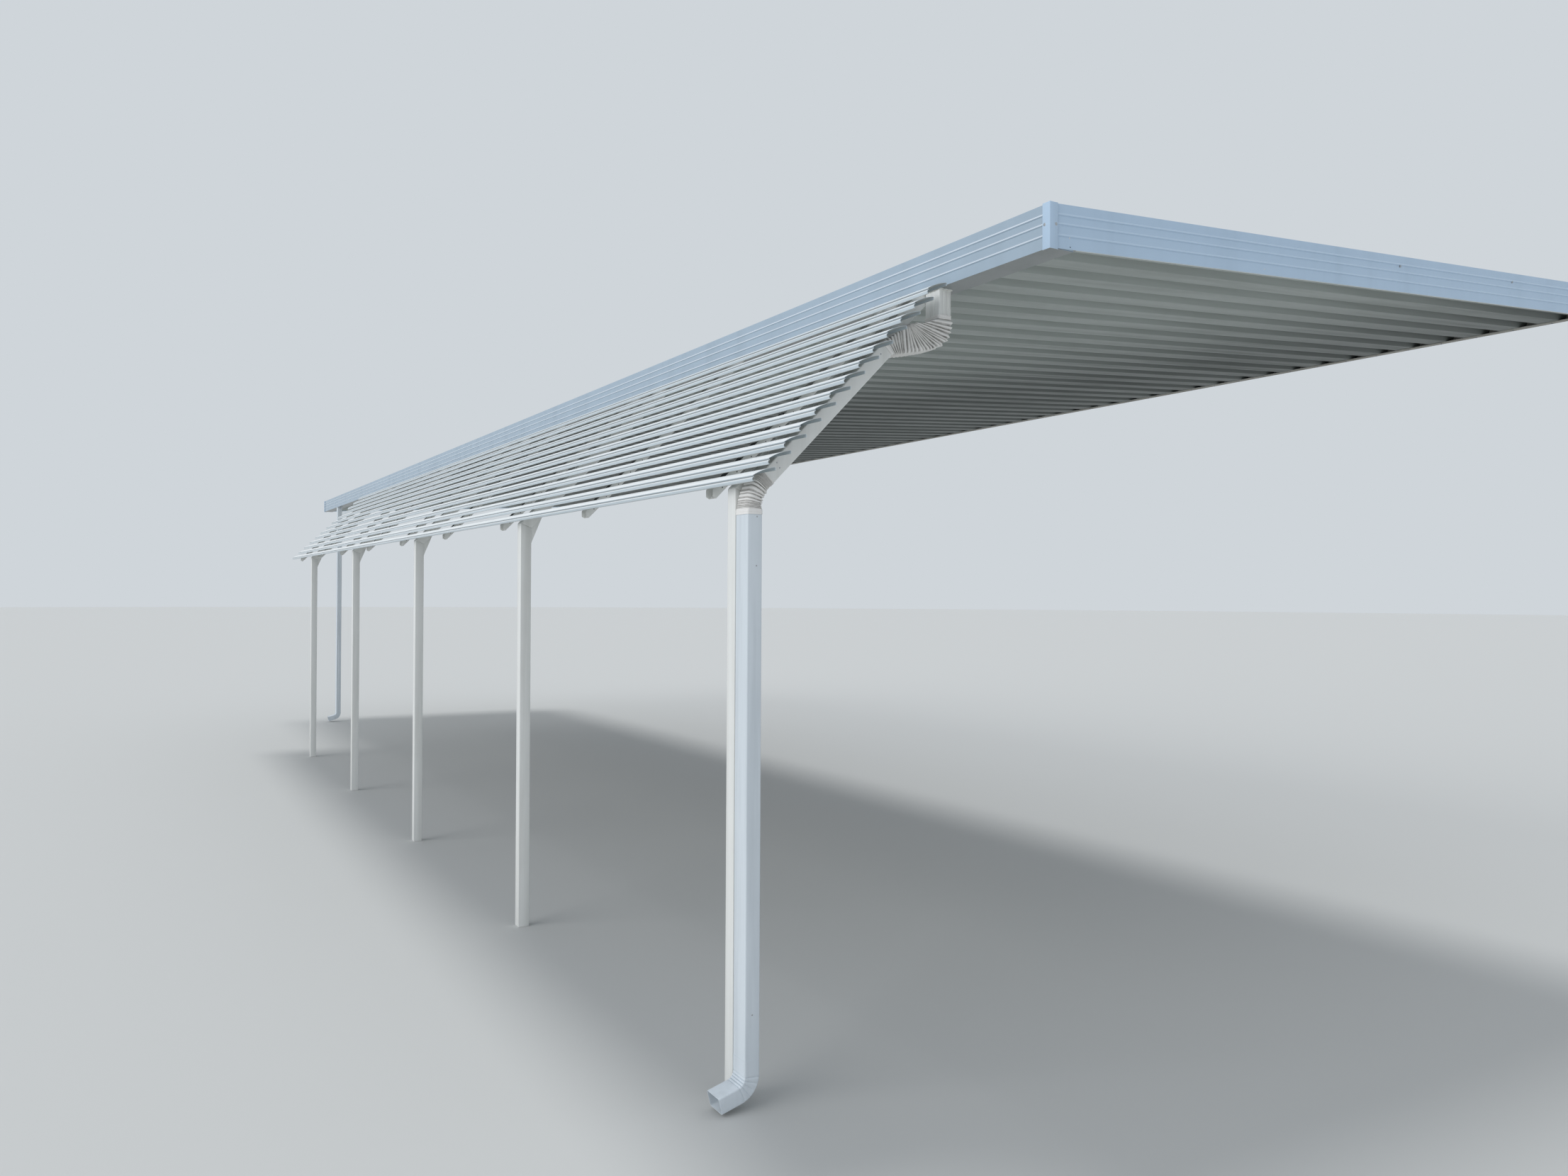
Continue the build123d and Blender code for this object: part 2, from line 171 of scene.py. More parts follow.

# %% [markdown]
# ## Finishes
#
# Nearly everything is aluminium sheet with a white polyester enamel, baked on in a coil line. The
# coat is smooth and half glossy, and years outside dull it: rain draws chalk and dust out into
# streaks. Upward slopes get a brighter crest colour, which is a painted highlight. Faces that look
# down get a film colour, which is dust with painted shade where it is darker and a painted
# highlight where it is paler. Each finish below mixes a clean, a soiled and a film colour and
# perhaps a crest, and its streaks run the way that water runs on that piece. Paint could be drawn
# on images too, but noise in real millimetres holds at any distance and needs no file.

# %% Baked enamel
ORANGE_PEEL_MM = 1.6        # ripple of the baked coat, drawn twice as coarse as real, to show
ORANGE_PEEL_DEEP_MM = 0.4
SHEET_WAVE_MM = 420         # slow waves of thin rolled sheet
SHEET_WAVE_DEEP_MM = 4
MOTTLE_MM = 160             # dull patches where drops dry
MOTTLE_SHARE = 0.22         # how much those patches add to the streaks
# The film on faces that look down is dust with painted shade, and on the fascias a painted
# highlight
DUST_AND_LIGHT_FADE = 0.12            # the turn of the normal over which the film sets in
DUST_AND_LIGHT_TINT = 0.55            # how much of the rinsed colour comes through the film
HIGHLIGHT_FROM, HIGHLIGHT_TO = 0.3, 0.42      # upward part of the normal where the painted highlight begins
DEEP_SHADE_FROM, DEEP_SHADE_TO = -5.3, -3.0         # X less half of |Y|, in metres, over which the painted shade deepens in from the roof's edges
CREASE_SHADE_COLOUR = "#6C7072"     # painted shade in a rolled crease
ENAMEL_IOR = 1.5


def per_metre(millimetres):
    """The noise scale whose features are about this wide."""
    return 1000 / millimetres


def baked_enamel(name, clean, soiled, dust_and_light, streak, soil, gloss, deep_shade_colour=None, crest=None,
                 dust_and_light_from=-0.82):
    """White polyester enamel on rolled sheet; streak is the noise scale along X, Y and Z.

    Crest is a painted highlight: a brighter colour on upward slopes, such as a rib's or slat's top.
    The film covers faces whose normal points down by dust_and_light_from, in the colour under:
    dust, with painted shade where it is darker than the sheet and a painted highlight where it is
    paler. With sheltered, the film turns to painted shade far in from the roof's outer edge and its
    ends.
    """
    material = bpy.data.materials.new(name)
    material.use_nodes = True
    tree = material.node_tree
    shader = tree.nodes["Principled BSDF"]
    place = add_node(tree, "ShaderNodeTexCoord").outputs["Object"]
    mottle = add_node(tree, "ShaderNodeTexNoise", None,
                      {"Vector": place, "Scale": per_metre(MOTTLE_MM), "Detail": 4.0,
                       "Roughness": 0.5})
    stretched = add_node(tree, "ShaderNodeMapping", None, {"Vector": place, "Scale": streak})
    streaks = add_node(tree, "ShaderNodeTexNoise", None,
                       {"Vector": stretched.outputs[0], "Scale": 1.0, "Detail": 3.0,
                        "Roughness": 0.55})
    patch = add_node(tree, "ShaderNodeMapRange", {"interpolation_type": "SMOOTHSTEP"},
                     {"Value": mottle.outputs["Fac"], "From Min": 0.42, "From Max": 0.75})
    line = add_node(tree, "ShaderNodeMapRange", {"interpolation_type": "SMOOTHSTEP"},
                    {"Value": streaks.outputs["Fac"], "From Min": 0.42, "From Max": 0.72})
    both = add_node(tree, "ShaderNodeMath", {"operation": "MULTIPLY_ADD"},
                    {0: patch.outputs[0], 1: MOTTLE_SHARE, 2: line.outputs[0]})
    # The crease's attribute lays painted shade into the colour
    crease_shade = add_node(tree, "ShaderNodeAttribute", {"attribute_name": "crease_shade"})
    share = add_node(tree, "ShaderNodeMath", {"operation": "MULTIPLY", "use_clamp": True},
                     {0: both.outputs[0], 1: soil})
    washed = add_node(tree, "ShaderNodeMix", {"data_type": "RGBA"},
                      {0: share.outputs[0], 6: linear(clean), 7: linear(soiled)})
    # Down-facing faces take the film: dust and painted shade, and on fascias a painted highlight
    facing = add_node(tree, "ShaderNodeSeparateXYZ", None,
                      {0: add_node(tree, "ShaderNodeNewGeometry").outputs["Normal"]})
    looks_down = add_node(tree, "ShaderNodeMapRange", {"interpolation_type": "SMOOTHSTEP"},
                          {"Value": facing.outputs["Z"], "From Min": dust_and_light_from,
                           "From Max": dust_and_light_from - DUST_AND_LIGHT_FADE})
    dust_and_light_tone = linear(dust_and_light)
    # Painted shade: the film darkens far in from the roof's outer edge and its ends
    if deep_shade_colour:
        spot = add_node(tree, "ShaderNodeSeparateXYZ", None, {0: place})
        from_middle = add_node(tree, "ShaderNodeMath", {"operation": "ABSOLUTE"},
                               {0: spot.outputs["Y"]})
        inward = add_node(tree, "ShaderNodeMath", {"operation": "MULTIPLY_ADD"},
                          {0: from_middle.outputs[0], 1: -0.5, 2: spot.outputs["X"]})
        deep = add_node(tree, "ShaderNodeMapRange", {"interpolation_type": "SMOOTHSTEP"},
                        {"Value": inward.outputs[0], "From Min": DEEP_SHADE_FROM, "From Max": DEEP_SHADE_TO})
        deepened = add_node(tree, "ShaderNodeMix", {"data_type": "RGBA"},
                            {0: deep.outputs[0], 6: linear(dust_and_light), 7: linear(deep_shade_colour)})
        dust_and_light_tone = deepened.outputs[2]
    dust_and_light_mix = add_node(tree, "ShaderNodeMix", {"data_type": "RGBA", "blend_type": "MULTIPLY"},
                      {0: DUST_AND_LIGHT_TINT, 6: dust_and_light_tone, 7: washed.outputs[2]})
    with_dust_and_light = add_node(tree, "ShaderNodeMix", {"data_type": "RGBA"},
                      {0: looks_down.outputs[0], 6: washed.outputs[2], 7: dust_and_light_mix.outputs[2]})
    # Painted highlight: upward slopes take the brighter crest colour
    if crest:
        highlight_share = add_node(tree, "ShaderNodeMapRange", None,
                          {"Value": facing.outputs["Z"], "From Min": HIGHLIGHT_FROM,
                           "From Max": HIGHLIGHT_TO})
        with_dust_and_light = add_node(tree, "ShaderNodeMix", {"data_type": "RGBA"},
                          {0: highlight_share.outputs[0], 6: with_dust_and_light.outputs[2], 7: linear(crest)})
    colour = add_node(tree, "ShaderNodeMix", {"data_type": "RGBA"},
                      {0: crease_shade.outputs["Fac"], 6: with_dust_and_light.outputs[2], 7: linear(CREASE_SHADE_COLOUR)})
    rough = add_node(tree, "ShaderNodeMapRange", None,
                     {"Value": share.outputs[0], "To Min": gloss, "To Max": gloss + 0.3})
    film = add_node(tree, "ShaderNodeTexNoise", None,
                    {"Vector": place, "Scale": per_metre(ORANGE_PEEL_MM), "Detail": 1.0})
    film_bump = add_node(tree, "ShaderNodeBump", None,
                         {"Height": film.outputs["Fac"], "Strength": 0.06,
                          "Distance": ORANGE_PEEL_DEEP_MM * MM})
    wave = add_node(tree, "ShaderNodeTexNoise", None,
                    {"Vector": place, "Scale": per_metre(SHEET_WAVE_MM), "Detail": 1.0})
    wave_bump = add_node(tree, "ShaderNodeBump", None,
                         {"Height": wave.outputs["Fac"], "Strength": 0.3,
                          "Distance": SHEET_WAVE_DEEP_MM * MM, "Normal": film_bump.outputs[0]})
    tree.links.new(colour.outputs[2], shader.inputs["Base Color"])
    tree.links.new(rough.outputs[0], shader.inputs["Roughness"])
    tree.links.new(wave_bump.outputs[0], shader.inputs["Normal"])
    shader.inputs["IOR"].default_value = ENAMEL_IOR
    return material


# %% One enamel for each kind of sheet
# The deck's streaks run along its ribs. Its film, webs included, is dust and painted shade, and
# the painted shade deepens away from the open edges
deck_enamel = baked_enamel("baked enamel on ribbed roof sheet", "#D0D4D1", "#ABADA8", "#BBC1BE",
                           (0.5, 20, 20), 0.5, 0.5, deep_shade_colour="#747977", dust_and_light_from=-0.2)
# Broad upright faces are half glossy; their blue grey is painted shade and a painted reflection
# of an open sky. The paler film on the hem and the ribs' crests are painted highlights
fascia_enamel = baked_enamel("baked enamel on fascia sheet", "#BED5EB", "#AABFD2", "#FBF8EC",
                             (7, 7, 0.9), 0.26, 0.34, crest="#C6DBEE")
# The gutter's darker blue is painted shade and a painted reflection of the sky, and its ribs'
# thin bright lines are a painted highlight
gutter_enamel = baked_enamel("baked enamel on gutter sheet", "#ABBDCC", "#9AAAB7", "#A9A9A4",
                             (11, 7, 0.9), 0.26, 0.34, crest="#D9E3EC")
# A slat's top carries a nearly white painted highlight over a front whose bluish grey is painted
# shade, which gives the visor its fine stripes
slat_enamel = baked_enamel("baked enamel on rolled slats", "#C9D4DA", "#ADB9C0", "#CFCDC7",
                           (7, 0.8, 24), 0.3, 0.3, crest="#EEF1F1")
# Square tube is the whitest of all, with faint upright runs of dust
frame_enamel = baked_enamel("baked enamel on square tube", "#F0F1EE", "#CFCFC9", "#C9C7C0",
                            (24, 24, 1.1), 0.3, 0.34)
# Downspouts are smooth, with longer runs; their cool tone is a painted reflection of the sky
pipe_enamel = baked_enamel("baked enamel on downspout sheet", "#DFE7ED", "#C0C8CE", "#C4C5C1",
                           (26, 26, 1.4), 0.34, 0.32)
# The ledger sits where dust gathers, so it is the dullest and brownest
ledger_enamel = baked_enamel("baked enamel on the wall ledger", "#C6C5C0", "#86837A", "#A5A299",
                             (26, 1.6, 26), 0.7, 0.5)
print("enamels ready")

# %% [markdown]
# The bends are not aluminium but a soft extruded vinyl that holds whatever shape it is pulled into.
# It is warmer and duller than the enamel, and its valleys are darker: grime, and painted shade.
# Every bend carries an attribute called rise, 0 in a valley and 1 on a crest, and the material
# reads it to place that darkening.

# %% Vinyl
VINYL_GRIME_AND_SHADE_MM = 22         # blotches of grime and painted shade in the valleys
VINYL_ROUGHNESS = 0.55
VINYL_IOR = 1.53
vinyl = bpy.data.materials.new("flexible vinyl")
vinyl.use_nodes = True
vinyl_tree = vinyl.node_tree
vinyl_shader = vinyl_tree.nodes["Principled BSDF"]
rise = add_node(vinyl_tree, "ShaderNodeAttribute", {"attribute_name": "rise"})
vinyl_place = add_node(vinyl_tree, "ShaderNodeTexCoord").outputs["Object"]
vinyl_noise = add_node(vinyl_tree, "ShaderNodeTexNoise", None,
                       {"Vector": vinyl_place, "Scale": per_metre(VINYL_GRIME_AND_SHADE_MM), "Detail": 4.0})
valley_grime_and_shade = add_node(vinyl_tree, "ShaderNodeMapRange", None,
                   {"Value": rise.outputs["Fac"], "From Min": 0.03, "From Max": 0.55,
                    "To Min": 1.6, "To Max": 0.08})
vinyl_grime_and_shade = add_node(vinyl_tree, "ShaderNodeMath", {"operation": "MULTIPLY", "use_clamp": True},
                      {0: valley_grime_and_shade.outputs[0], 1: vinyl_noise.outputs["Fac"]})
# The valleys' dark colour is grime and painted shade
vinyl_colour = add_node(vinyl_tree, "ShaderNodeMix", {"data_type": "RGBA"},
                        {0: vinyl_grime_and_shade.outputs[0], 6: linear("#F8F6F3"), 7: linear("#7A7771")})
vinyl_tree.links.new(vinyl_colour.outputs[2], vinyl_shader.inputs["Base Color"])
vinyl_shader.inputs["Roughness"].default_value = VINYL_ROUGHNESS
vinyl_shader.inputs["IOR"].default_value = VINYL_IOR
print("vinyl ready")


# %% Screws and clips
def plain_finish(name, colour, metallic, roughness, grain_mm):
    """A small part's finish: one colour with a fine uneven roughness from its making."""
    material = bpy.data.materials.new(name)
    material.use_nodes = True
    tree = material.node_tree
    shader = tree.nodes["Principled BSDF"]
    place = add_node(tree, "ShaderNodeTexCoord").outputs["Object"]
    grain = add_node(tree, "ShaderNodeTexNoise", None,
                     {"Vector": place, "Scale": per_metre(grain_mm), "Detail": 3.0})
    spread = add_node(tree, "ShaderNodeMapRange", None,
                      {"Value": grain.outputs["Fac"], "To Min": roughness - 0.1,
                       "To Max": roughness + 0.15})
    tree.links.new(spread.outputs[0], shader.inputs["Roughness"])
    shader.inputs["Base Color"].default_value = linear(colour)
    shader.inputs["Metallic"].default_value = metallic
    return material


# Zinc plating gives a soft silver glint, blackening takes it away, and paint hides the head in the
# sheet. The fill in the hangers' mouths is a deep black with a dull sheen. The grain is drawn
# coarse, to show at all
zinc = plain_finish("zinc plated steel", "#B4B7BA", 1.0, 0.38, 3)
dark_zinc = plain_finish("blackened steel screw", "#3B3E42", 0.8, 0.5, 3)
painted_head = plain_finish("white painted screw head", "#DDE0E2", 0.0, 0.4, 4)
black_mouth_fill = plain_finish("black fill of hanger mouths", "#222528", 0.0, 0.55, 5)
print("small finishes ready")

# %% [markdown]
# ## Helpers for making pieces
#
# Most pieces are either a copy of a solid with its sharp edges rolled round, or a closed skin
# between rings of points. Both end as a plain mesh whose object sits at the origin.

# %% Keeping pieces
SHARP_EDGE = math.radians(32)       # a mesh is shaded smooth across anything flatter than this


def keep(name, mesh, material, nodes=()):
    """Link a finished mesh as a piece on the body, in place of the CAD nodes that it stands for."""
    mesh.name = name
    if not mesh.materials:
        mesh.materials.append(material)
    for face in mesh.polygons:
        face.use_smooth = True
    mesh.set_sharp_from_angle(angle=SHARP_EDGE)
    piece = bpy.data.objects.new(name, mesh)
    bpy.context.scene.collection.objects.link(piece)
    if nodes:
        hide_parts(*nodes)
    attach(piece, BODY)
    print(name, len(mesh.polygons), "faces")
    return piece


def evaluated_mesh(source):
    """The plain mesh of an object with its modifiers carried out; the object is removed."""
    bpy.context.view_layer.update()
    depsgraph = bpy.context.evaluated_depsgraph_get()
    mesh = bpy.data.meshes.new_from_object(source.evaluated_get(depsgraph))
    source.modifiers.clear()
    bpy.data.objects.remove(source)
    return mesh


def linked(name, mesh):
    """A working object that holds a mesh."""
    working = bpy.data.objects.new(name, mesh)
    bpy.context.scene.collection.objects.link(working)
    return working


WELD_MM = 0.02
FLAT_TURN = math.radians(1)         # triangles that turn less than this are one flat face
ROLLED_TURN = math.radians(25)      # edges that turn more than this are rolled


def rolled_copy(node, radius_mm, segments=3):
    """A copy of a CAD node as one clean solid whose edges are rolled to a radius."""
    mesh = bpy.data.meshes.new(f"{node}_copy")
    solid = bmesh.new()
    solid.from_mesh(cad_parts[node].data)
    bmesh.ops.remove_doubles(solid, verts=solid.verts, dist=WELD_MM * MM)
    bmesh.ops.dissolve_limit(solid, angle_limit=FLAT_TURN, verts=solid.verts,
                             edges=solid.edges)
    solid.to_mesh(mesh)
    solid.free()
    working = linked("working_copy", mesh)
    bevel = working.modifiers.new("rolled edges", "BEVEL")
    bevel.width = radius_mm * MM
    bevel.segments = segments
    bevel.limit_method = "ANGLE"
    bevel.angle_limit = ROLLED_TURN
    bevel.use_clamp_overlap = True
    return evaluated_mesh(working)


# %% [markdown]
# ## Posts, arms, brackets and caps
#
# The frame is square extruded tube, and what gives it away is the small radius along each corner,
# which catches the light as a bright line. The solids are right in every length, so each is
# copied, its loose triangles are joined into whole faces, and its edges are rolled.

# %% Rolled tubes and folded sheets
TUBE_CORNER_MM = 2.2
FOLD_MM = 0.6
POSTS = 5
for number in range(1, POSTS + 1):
    for stem in ("post", "post_arm"):
        node = f"{stem}_{number}"
        keep(f"{node}_tube", rolled_copy(node, TUBE_CORNER_MM), frame_enamel, [node])
for node, material, slot in (("knee_brackets", frame_enamel, "frame"),
                             ("corner_caps", fascia_enamel, "fascia")):
    keep(f"folded_{node}", rolled_copy(node, FOLD_MM, 2), material, [node])

# %% [markdown]
# The deck, ledger, gutter and end fascias are long folded sheets whose flat faces and sharp bends
# are already right, so the CAD nodes stay and only take their enamel.

# %% Sheets that stay
ROOF_SHEETS = 5
NODE_FINISHES = {"wall_ledger": ledger_enamel, "outer_gutter": gutter_enamel,
                 "near_end_fascia": fascia_enamel, "far_end_fascia": fascia_enamel}
for number in range(1, ROOF_SHEETS + 1):
    NODE_FINISHES[f"roof_sheet_{number}"] = deck_enamel
for node, material in NODE_FINISHES.items():
    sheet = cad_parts[node]
    sheet.data.materials.clear()
    sheet.data.materials.append(material)
print("sheets finished", len(NODE_FINISHES))

# %% [markdown]
# A gutter is stopped at each end by a small folded cap inside its trough. Under the slanting end
# fascia a wedge of that cap shows, between the pan and the fascia's lower edge. A plate with soft
# edges is all that it takes, so it is made straight from the gutter's own box.

# %% Gutter end caps
CAP_PLATE_MM = 1.5
CAP_FRONT_MM = 5            # from the gutter's outermost rib to the cap
CAP_FOOT_MM = 0.6           # the cap's foot stands inside the thickness of the pan
CAP_TOP_MM = 34
CAP_EDGE_MM = 0.4
PAN_EDGE_MM = -3075         # where the gutter's pan turns up at the back
gutter_low, gutter_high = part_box("outer_gutter")
stops = bmesh.new()
for y in (gutter_low.y + CAP_PLATE_MM / 2 * MM, gutter_high.y - CAP_PLATE_MM / 2 * MM):
    low_corner = Vector((gutter_low.x + CAP_FRONT_MM * MM, y, gutter_low.z + CAP_FOOT_MM * MM))
    high_corner = Vector(((PAN_EDGE_MM - 1) * MM, y, gutter_low.z + CAP_TOP_MM * MM))
    size = high_corner - low_corner + Vector((0, CAP_PLATE_MM * MM, 0))
    in_place = Matrix.Translation((low_corner + high_corner) / 2) @ Matrix.Diagonal((*size, 1))
    plate = bmesh.ops.create_cube(stops, size=1.0, matrix=in_place)
    plate_edges = {edge for vertex in plate["verts"] for edge in vertex.link_edges}
    bmesh.ops.bevel(stops, geom=list(plate_edges), offset=CAP_EDGE_MM * MM, segments=2,
                    affect="EDGES")
stop_mesh = bpy.data.meshes.new("gutter_stops")
stops.to_mesh(stop_mesh)
stops.free()
keep("folded_gutter_end_caps", stop_mesh, gutter_enamel)

# %% [markdown]
# ## Visor slats
#
# Each slat is one roll-formed tray: a lip rolled under at the front, a thin crease, an arched top
# that flattens as it rises, and a short lip at the back that stands on the hangers. One profile
# and one rule make all of them, which is what Geometry Nodes are for: extrude the profile along
# the visor, repeat it down the slope, and give it its finish.

# %% The slat's profile
VISOR = math.radians(45)
SLAT_COUNT = 13
SLAT_PITCH_MM = 75
SLAT_STEP = Vector((-SLAT_PITCH_MM * MM * math.cos(VISOR), 0,
                    -SLAT_PITCH_MM * MM * math.sin(VISOR)))
SLAT_SHEET_MM = 1.2
SLAT_RISE_MM = 38           # from the profile's origin, at the lip, to the top of the slat's box
first_low, first_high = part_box("visor_slat_01")
FIRST_LIP = Vector((first_low.x, first_low.y, first_high.z - SLAT_RISE_MM * MM))
SLAT_LENGTH = first_high.y - first_low.y


def arc_through(start, middle, end, steps):
    """Points on the circle through three points, without the start."""
    ax, az = start
    bx, bz = middle
    cx, cz = end
    a2, b2, c2 = ax**2 + az**2, bx**2 + bz**2, cx**2 + cz**2
    d = 2 * (ax * (bz - cz) + bx * (cz - az) + cx * (az - bz))
    ux = (a2 * (bz - cz) + b2 * (cz - az) + c2 * (az - bz)) / d
    uz = (a2 * (cx - bx) + b2 * (ax - cx) + c2 * (bx - ax)) / d
    radius = math.hypot(ax - ux, az - uz)
    begin = math.atan2(az - uz, ax - ux)
    finish = math.atan2(cz - uz, cx - ux)
    angles = [begin + (finish - begin) * i / steps for i in range(1, steps + 1)]
    return [(ux + radius * math.cos(a), uz + radius * math.sin(a)) for a in angles]


# Millimetres across and up from the lip: first the lip's roll, then the crease
slat_line = [(6.2, -5.4), (5.6, -6.9), (4.2, -7.8), (2.6, -7.2), (1.2, -5.4), (0.4, -3.4),
             (0.1, -1.4), (0.3, 0.6), (1.2, 2.6), (2.9, 3.9),
             (4.6, 4.6), (5.2, 5.4), (4.8, 6.4), (3.6, 7.9), (2.3, 9.2), (2.5, 10.2)]
CREASE_POINTS = (10, 11, 12, 13)    # the crease's own points in that list
CREASE_SHADE_DEPTH = 0.6                   # how dark the painted shade makes it
# Then the arched top and the lip at the back
slat_line += arc_through((2.5, 10.2), (39.5, 28.0), (74.5, 37.2), 16)
slat_line += [(76.4, 37.2), (77.8, 36.4), (78.4, 34.8), (78.4, 31.5), (78.4, 28.0)]


def thickened(line, thickness):
    """The closed outline of a sheet of some thickness that follows a line."""
    left, right = [], []
    for i, (x, z) in enumerate(line):
        before = line[max(i - 1, 0)]
        after = line[min(i + 1, len(line) - 1)]
        run = math.hypot(after[0] - before[0], after[1] - before[1])
        nx = -(after[1] - before[1]) / run * thickness / 2
        nz = (after[0] - before[0]) / run * thickness / 2
        left.append((x + nx, z + nz))
        right.append((x - nx, z - nz))
    return left + right[::-1]


slat_outline = thickened(slat_line, SLAT_SHEET_MM)
print("slat outline points", len(slat_outline))


# %% [markdown]
# A modifier reads its inputs by socket identifier, so the helper that starts a node tree keeps
# the identifiers by name and the helper that runs it sets them before anything is evaluated.

# %% Node tree helpers
def start_tree(name, sockets):
    """A new geometry tree with named inputs; returns it, its input node and the identifiers."""
    tree = bpy.data.node_groups.new(name, "GeometryNodeTree")
    tree.interface.new_socket(name="Geometry", in_out="INPUT", socket_type="NodeSocketGeometry")
    identifiers = {}
    for socket_name, kind in sockets:
        socket = tree.interface.new_socket(name=socket_name, in_out="INPUT", socket_type=kind)
        identifiers[socket_name] = socket.identifier
    tree.interface.new_socket(name="Geometry", in_out="OUTPUT", socket_type="NodeSocketGeometry")
    return tree, tree.nodes.new("NodeGroupInput"), identifiers


def end_tree(tree, geometry):
    """Send the finished geometry to the tree's output."""
    add_node(tree, "NodeGroupOutput", None, {"Geometry": geometry})


def grown(name, mesh, tree, identifiers, values):
    """Run a geometry tree on a mesh and return the plain mesh that it makes."""
    working = linked(name, mesh)
    modifier = working.modifiers.new(name, "NODES")
    modifier.node_group = tree
    for socket_name, value in values.items():
        modifier[identifiers[socket_name]] = value
    return evaluated_mesh(working)


# %% Rolled and repeated slats
slat_tree, given, slat_sockets = start_tree("repeated slats", [
    ("Length", "NodeSocketFloat"), ("Count", "NodeSocketInt"), ("Step", "NodeSocketVector"),
    ("Finish", "NodeSocketMaterial")])
along = add_node(slat_tree, "ShaderNodeCombineXYZ", None, {"Y": given.outputs["Length"]})
body = add_node(slat_tree, "GeometryNodeExtrudeMesh", None,
                {"Mesh": given.outputs["Geometry"], "Offset": along.outputs[0], "Offset Scale": 1.0,
                 "Individual": False})
near_cap = add_node(slat_tree, "GeometryNodeFlipFaces", None, {"Mesh": given.outputs["Geometry"]})
closed = add_node(slat_tree, "GeometryNodeJoinGeometry")
slat_tree.links.new(body.outputs["Mesh"], closed.inputs[0])
slat_tree.links.new(near_cap.outputs[0], closed.inputs[0])
welded = add_node(slat_tree, "GeometryNodeMergeByDistance", None, {"Geometry": closed.outputs[0]})
places = add_node(slat_tree, "GeometryNodeMeshLine", None,
                  {"Count": given.outputs["Count"], "Offset": given.outputs["Step"]})
copies = add_node(slat_tree, "GeometryNodeInstanceOnPoints", None,
                  {"Points": places.outputs[0], "Instance": welded.outputs[0]})
real = add_node(slat_tree, "GeometryNodeRealizeInstances", None, {"Geometry": copies.outputs[0]})
coated = add_node(slat_tree, "GeometryNodeSetMaterial", None,
                  {"Geometry": real.outputs[0], "Material": given.outputs["Finish"]})
end_tree(slat_tree, coated.outputs[0])

profile = bpy.data.meshes.new("slat_profile")
corners = [FIRST_LIP + Vector((x * MM, 0, z * MM)) for x, z in slat_outline]
profile.from_pydata(corners, [], [tuple(range(len(corners)))])
# The crease's points carry painted shade
crease_shade_share = profile.attributes.new("crease_shade", "FLOAT", "POINT")
for point in CREASE_POINTS:
    crease_shade_share.data[point].value = CREASE_SHADE_DEPTH
if profile.polygons[0].normal.y < 0:
    profile.flip_normals()
slats = grown("slats_working", profile, slat_tree, slat_sockets,
              {"Length": SLAT_LENGTH, "Count": SLAT_COUNT, "Step": SLAT_STEP,
               "Finish": slat_enamel})
keep("rolled_visor_slats", slats, slat_enamel,
     [f"visor_slat_{number:02d}" for number in range(1, SLAT_COUNT + 1)])

# %% [markdown]
# ## Downspouts and their flexible bends
#
# A downspout is thin sheet with rounded corners and shallow grooves that stiffen it. Its bends are
# pleated like bellows: on the outside of a bend the pleats open, on the inside they crowd together,
# and no two are pulled alike. A ring of points slides along the pipe's centre line and swells at
# each pleat. Mesh code suits it, because each ring depends on where it is in the bend.

# %% Pipe sections and routes
PIPE_DEPTH_MM = 50.8
PIPE_BREADTH_MM = 76.2
PIPE_WALL_MM = 1.5
GROOVE_SHAPE = ((-5, 0), (-2, 2.2), (2, 2.2), (5, 0))      # distance from its middle, and depth


def section(radius, corner_steps, grooves=(), side_grooves=()):
    """A pipe's outline as (across, outward, normal across, normal outward), in millimetres."""
    halves = (PIPE_BREADTH_MM / 2, PIPE_DEPTH_MM / 2)
    points = []
    for quarter in range(4):
        half_along, half_out = halves if quarter % 2 == 0 else halves[::-1]
        local = []
        for middle in (grooves, side_grooves)[quarter % 2]:
            local += [(middle + away, dip) for away, dip in GROOVE_SHAPE]
        side = [(-(half_along - radius), 0)] + local + [(half_along - radius, 0)]
        turned = [(s, half_out - dip, 0.0, 1.0) for s, dip in side]
        for i in range(1, corner_steps):
            a = math.pi / 2 * i / corner_steps
            turned.append((half_along - radius + radius * math.sin(a),
                           half_out - radius + radius * math.cos(a), math.sin(a), math.cos(a)))
        for s, o, ns, no in turned:
            c, d = ((1, 0), (0, -1), (-1, 0), (0, 1))[quarter]
            points.append((s * c - o * d, s * d + o * c, ns * c - no * d, ns * d + no * c))
    return points


